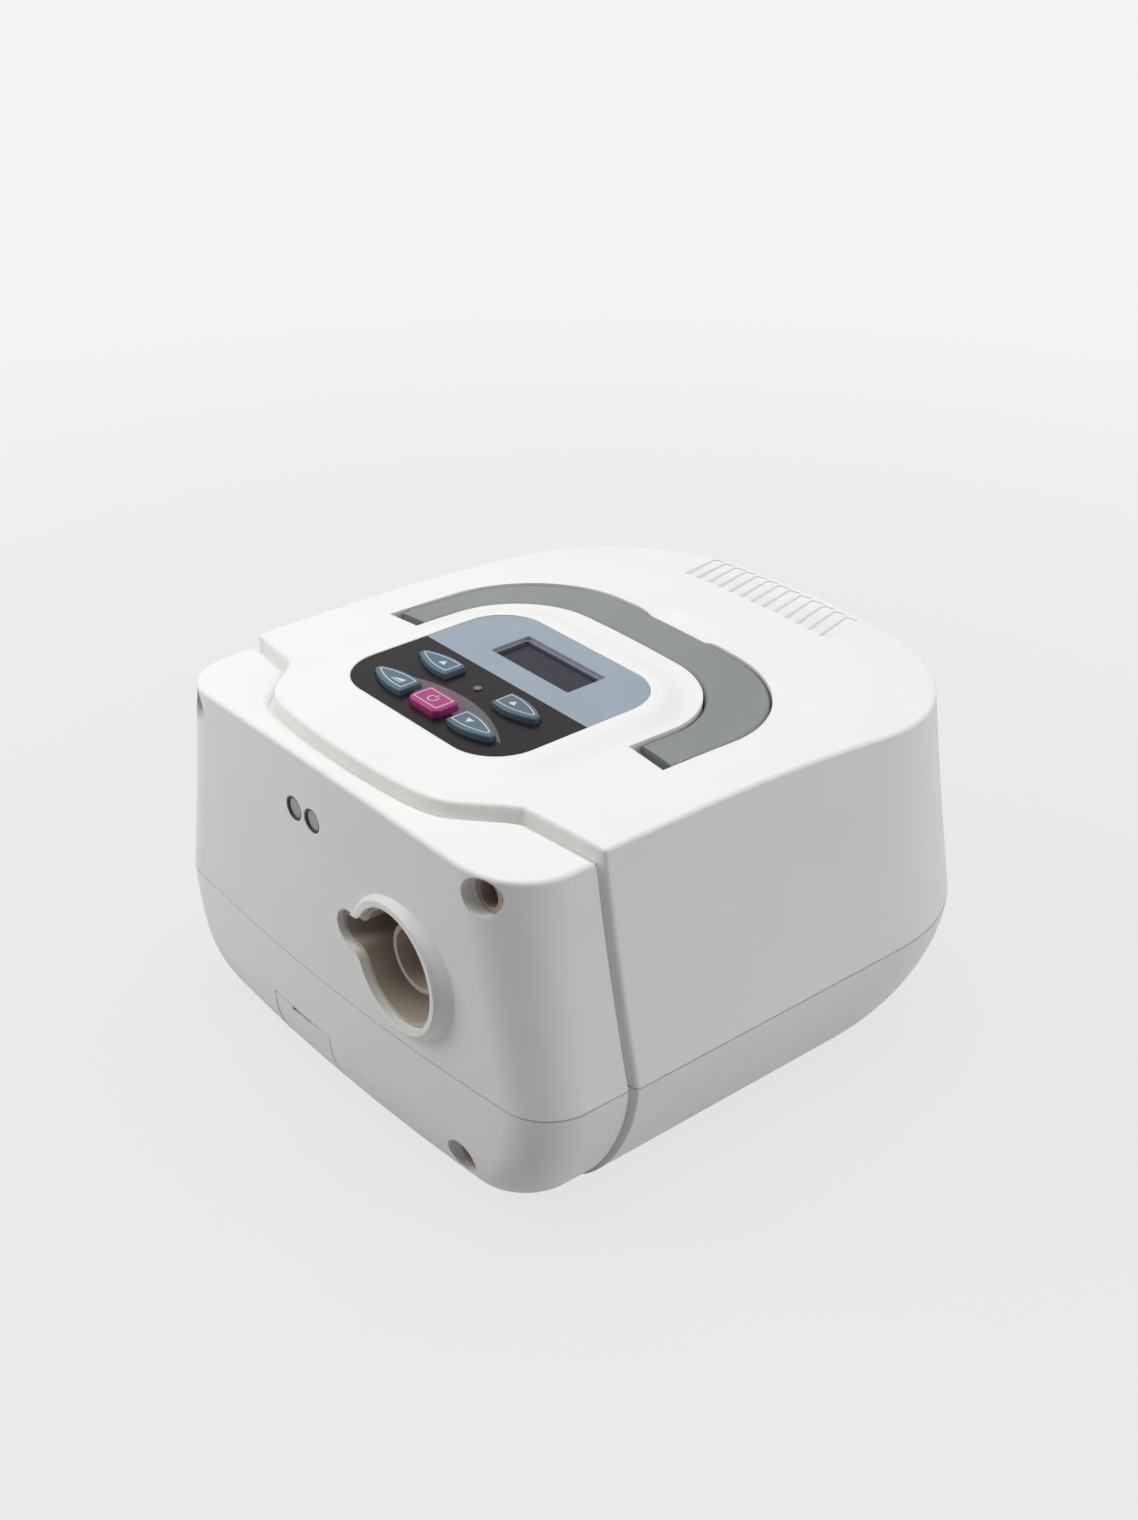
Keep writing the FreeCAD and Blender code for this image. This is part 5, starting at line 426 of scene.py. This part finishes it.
NODE_MATERIALS = {
    "upper_housing": white_abs, "lower_housing": white_abs, "card_door": white_abs, "filter_cap": white_abs,
    "carry_handle": grey_abs, "handle_pins": turned_steel,
    "control_overlay": film, "display_window": pane, "display_module": display, "indicator_light": light_lens,
    "left_key": slate_silicone, "down_key": slate_silicone, "up_key": slate_silicone,
    "right_key": slate_silicone, "power_key": magenta_silicone, "push_switches": black_nylon,
    "control_board": solder_mask,
    "outlet_socket": beige_polycarbonate, "outlet_tube": beige_polycarbonate, "outlet_coupling": black_rubber,
    "contact_bezels": black_nylon, "contact_pins": plated_contact, "contact_board": solder_mask,
    "card_reader": black_nylon, "volute_lower": natural_polypropylene, "volute_upper": natural_polypropylene,
    "blower_motor": black_enamel, "motor_shaft": turned_steel, "impeller": natural_polypropylene,
    "blower_mounts": black_rubber, "silencer_box": natural_polypropylene, "silencer_foam": foam,
    "filter_box": natural_polypropylene, "air_filter": foam, "power_inlet": black_nylon,
    "inlet_blades": plated_contact, "fuse_drawer": black_nylon, "fuse": fuse_ceramic,
    "data_port": white_socket,
    "port_tongue": black_nylon, "main_board": solder_mask, "power_board": solder_mask,
    "transformer": winding_tape, "capacitors": black_nylon, "heat_sink": extruded_aluminium,
    "processor": black_nylon,
    "pressure_sensor": black_nylon, "sensing_tube": milky_silicone, "panel_ribbon": ribbon_vinyl,
    "rubber_feet": grey_rubber, "housing_screws": turned_steel, "board_screws": turned_steel,
    "front_screws": bronzed_steel, "well_bushings": brown_nylon,
}

for node_name, node_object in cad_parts.items():
    node_object.data.materials.clear()
    node_object.data.materials.append(NODE_MATERIALS[node_name])


# ---------------------------------------------------------------- legends on the keys

KEY_MIDDLE_X = -0.6
KEY_FLAT_X = 11.3
KEY_LENGTH = 16.6
KEY_HALF = 3.9
TIP_HALF = 1.0
FRONT_ROW_Y = -58.4
BACK_ROW_Y = -41.9
INK_THICK = 0.05
INK_GAP = 0.005
OUTLINE_INSET = 0.95
OUTLINE_WIDTH = 0.38
POWER_OUTLINE_WIDTH = 0.36
POWER_OUTLINE_HALF = (5.6, 3.4)


def new_piece(name, mesh, material, body):
    """Turn a bmesh in millimetres into a piece that rides on a body."""
    bmesh.ops.scale(mesh, vec=(MM, MM, MM), verts=mesh.verts)
    bmesh.ops.recalc_face_normals(mesh, faces=mesh.faces)
    data = bpy.data.meshes.new(name)
    mesh.to_mesh(data)
    mesh.free()
    data.materials.append(material)
    piece = bpy.data.objects.new(name, data)
    bpy.context.scene.collection.objects.link(piece)
    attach(piece, body)


def pointed_outline(direction, row_y, inset):
    """Points round a pointed key's top, set in from its edge."""
    flat = KEY_FLAT_X + inset
    reach = KEY_FLAT_X + KEY_LENGTH - inset * 1.6
    half = KEY_HALF - inset
    tip = max(0.25, TIP_HALF - inset * 0.6)
    side = []
    steps = 10
    for index in range(steps + 1):
        along = index / steps
        bulge = 1.05 * 4 * along * (1 - along)
        side.append((flat + (reach - flat) * along, half + (tip - half) * along + bulge))
    points = [(across, -away) for across, away in side] + list(reversed(side))
    return [(KEY_MIDDLE_X + direction * across, row_y + away) for across, away in points]


def ring_of(mesh, points, width, z):
    """Thin printed line that follows a closed outline, inside it."""
    corners = [mesh.verts.new((x, y, z)) for x, y in points]
    face = mesh.faces.new(corners)
    mesh.normal_update()
    bmesh.ops.inset_region(mesh, faces=[face], thickness=width, use_boundary=True, use_even_offset=True)
    bmesh.ops.delete(mesh, geom=[face], context="FACES_ONLY")
    lift(mesh)


def lift(mesh):
    """Give flat print its thickness."""
    result = bmesh.ops.extrude_face_region(mesh, geom=mesh.faces[:], use_keep_orig=True)
    raised = [item for item in result["geom"] if isinstance(item, bmesh.types.BMVert)]
    bmesh.ops.translate(mesh, verts=raised, vec=(0.0, 0.0, INK_THICK))


def filled(mesh, points, z):
    corners = [mesh.verts.new((x, y, z)) for x, y in points]
    mesh.faces.new(corners)


INK_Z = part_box("left_key")[1][2] / MM + INK_GAP
POWER_INK_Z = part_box("power_key")[1][2] / MM + INK_GAP
POINTED_KEYS = {
    "left_key": (-1, FRONT_ROW_Y), "down_key": (1, FRONT_ROW_Y),
    "up_key": (-1, BACK_ROW_Y), "right_key": (1, BACK_ROW_Y),
}

for key_name, (key_side, key_row) in POINTED_KEYS.items():
    outline = bmesh.new()
    ring_of(outline, pointed_outline(key_side, key_row, OUTLINE_INSET), OUTLINE_WIDTH, INK_Z)
    new_piece(f"{key_name}_outline", outline, legend_ink, key_name)

half_x, half_y = POWER_OUTLINE_HALF
power_corners = [
    (KEY_MIDDLE_X + half_x * right, FRONT_ROW_Y + half_y * up)
    for right, up in ((-1, -1), (1, -1), (1, 1), (-1, 1))
]
power_outline = bmesh.new()
ring_of(power_outline, power_corners, POWER_OUTLINE_WIDTH, POWER_INK_Z)
new_piece("power_key_outline", power_outline, legend_ink, "power_key")


def icon_middle(direction):
    return KEY_MIDDLE_X + direction * (KEY_FLAT_X + KEY_LENGTH * 0.34)


def triangle(name, body, direction, row_y, turn):
    """Small filled arrowhead."""
    mesh = bmesh.new()
    middle = icon_middle(direction)
    base = row_y - 1.0 * turn
    filled(mesh, [(middle - 1.5, base), (middle + 1.5, base), (middle, row_y + 1.3 * turn)], INK_Z)
    lift(mesh)
    new_piece(name, mesh, legend_ink, body)


triangle("up_arrowhead", "up_key", -1, BACK_ROW_Y, 1)
triangle("right_arrowhead", "right_key", 1, BACK_ROW_Y, 1)
triangle("down_arrowhead", "down_key", 1, FRONT_ROW_Y, -1)


def ramp_sign():
    """Slow-start sign: a sloping bar over a base line."""
    mesh = bmesh.new()
    middle = icon_middle(-1)
    left, right = middle - 2.2, middle + 2.2
    base = FRONT_ROW_Y - 1.5
    filled(mesh, [(left, base), (right, base), (right, base + 0.4), (left, base + 0.4)], INK_Z)
    filled(mesh, [(left, base + 0.8), (right, base + 0.8), (right, base + 2.6)], INK_Z)
    lift(mesh)
    new_piece("ramp_sign", mesh, legend_ink, "left_key")


ramp_sign()


def power_sign():
    """Standby sign: an open ring with a bar in its gap."""
    mesh = bmesh.new()
    radius, width = 1.45, 0.36
    middle = (0.0, 0.0, POWER_INK_Z)
    start = [mesh.verts.new((radius, 0.0, POWER_INK_Z)), mesh.verts.new((radius + width, 0.0, POWER_INK_Z))]
    edge = mesh.edges.new(start)
    gap = math.radians(70)
    bmesh.ops.spin(
        mesh, geom=start + [edge], cent=middle, axis=(0.0, 0.0, 1.0), angle=2 * math.pi - gap, steps=28,
        use_merge=False)
    turned = Matrix.Rotation(math.pi / 2 + gap / 2, 3, "Z")
    bmesh.ops.rotate(mesh, verts=mesh.verts, cent=middle, matrix=turned)
    filled(mesh, [(-0.18, 0.5), (0.18, 0.5), (0.18, 2.2), (-0.18, 2.2)], POWER_INK_Z)
    bmesh.ops.recalc_face_normals(mesh, faces=mesh.faces)
    lift(mesh)
    bmesh.ops.translate(mesh, verts=mesh.verts, vec=(KEY_MIDDLE_X, FRONT_ROW_Y - 0.1, 0.0))
    new_piece("power_sign", mesh, legend_ink, "power_key")


power_sign()


# ---------------------------------------------------------------- floor and light

def backdrop_ray(tree):
    """1 on rays that show the backdrop itself: straight to the eye, mirrored or through clear plastic."""
    path = add(tree, "ShaderNodeLightPath")
    direct = math_node(tree, "MAXIMUM", path.outputs["Is Camera Ray"], path.outputs["Is Transmission Ray"])
    return math_node(tree, "MAXIMUM", direct, path.outputs["Is Glossy Ray"])


FLOOR_HALF = 12.0
FADE_FROM = 0.08
FADE_TO = 0.9


def make_floor():
    """Wide pale floor of matt studio board, which fades into even light away from the machine."""
    mesh = bmesh.new()
    bmesh.ops.create_grid(mesh, x_segments=1, y_segments=1, size=FLOOR_HALF)
    data = bpy.data.meshes.new("studio_floor")
    mesh.to_mesh(data)
    mesh.free()
    material, tree = new_material("pale_studio_board")
    place = place_of(tree)
    shade = mixed(tree, noise(tree, place, 900.0), linear("#acacac"), linear("#aaaaaa"))
    board = add(
        tree, "ShaderNodeBsdfPrincipled", {"Roughness": 0.9, "Specular IOR Level": 0.1},
        {"Base Color": shade})
    glow = add(tree, "ShaderNodeEmission", {"Color": linear("#f4f4f4"), "Strength": 1.0})
    distance = add(tree, "ShaderNodeVectorMath", {"operation": "LENGTH"}, {"Vector": place}).outputs["Value"]
    away = add(
        tree, "ShaderNodeMapRange",
        {
            "interpolation_type": "SMOOTHSTEP", "From Min": FADE_FROM, "From Max": FADE_TO,
            "To Min": 0.82, "To Max": 1.0,
        },
        {"Value": distance}).outputs["Result"]
    share = math_node(tree, "MULTIPLY", backdrop_ray(tree), away)
    both = add(
        tree, "ShaderNodeMixShader", links={0: share, 1: board.outputs["BSDF"], 2: glow.outputs["Emission"]})
    finish_surface(tree, both.outputs["Shader"])
    data.materials.append(material)
    floor = bpy.data.objects.new("studio_floor", data)
    bpy.context.scene.collection.objects.link(floor)


make_floor()


def make_world():
    """Even pale surroundings, seen by the camera and by gloss as light grey."""
    world = bpy.data.worlds.new("studio")
    bpy.context.scene.world = world
    world.use_nodes = True
    tree = world.node_tree
    tree.nodes.clear()
    seen = backdrop_ray(tree)
    light = add(tree, "ShaderNodeBackground", {"Color": linear("#f6f7f8"), "Strength": 0.18})
    shown = add(tree, "ShaderNodeBackground", {"Color": linear("#f2f2f2"), "Strength": 1.0})
    both = add(
        tree, "ShaderNodeMixShader",
        links={0: seen, 1: light.outputs["Background"], 2: shown.outputs["Background"]})
    add(tree, "ShaderNodeOutputWorld", links={"Surface": both.outputs["Shader"]})


make_world()


def soft_box(name, place, target, size, power):
    """Large square lamp aimed at a point."""
    data = bpy.data.lights.new(name, "AREA")
    data.shape = "SQUARE"
    data.size = size
    data.energy = power
    lamp = bpy.data.objects.new(name, data)
    lamp.location = place
    aim = Vector(target) - Vector(place)
    lamp.rotation_euler = aim.to_track_quat("-Z", "Y").to_euler()
    bpy.context.scene.collection.objects.link(lamp)


soft_box("overhead_box", (-0.2, 0.2, 2.2), (0.0, 0.0, 0.1), 2.0, 35.2)
soft_box("left_box", (-0.55, -0.62, 0.55), (-0.04, 0.0, 0.08), 0.5, 3.6)
soft_box("right_box", (1.3, 0.9, 0.7), (0.0, 0.0, 0.06), 0.9, 8.3)

bpy.context.scene.view_settings.view_transform = "Standard"
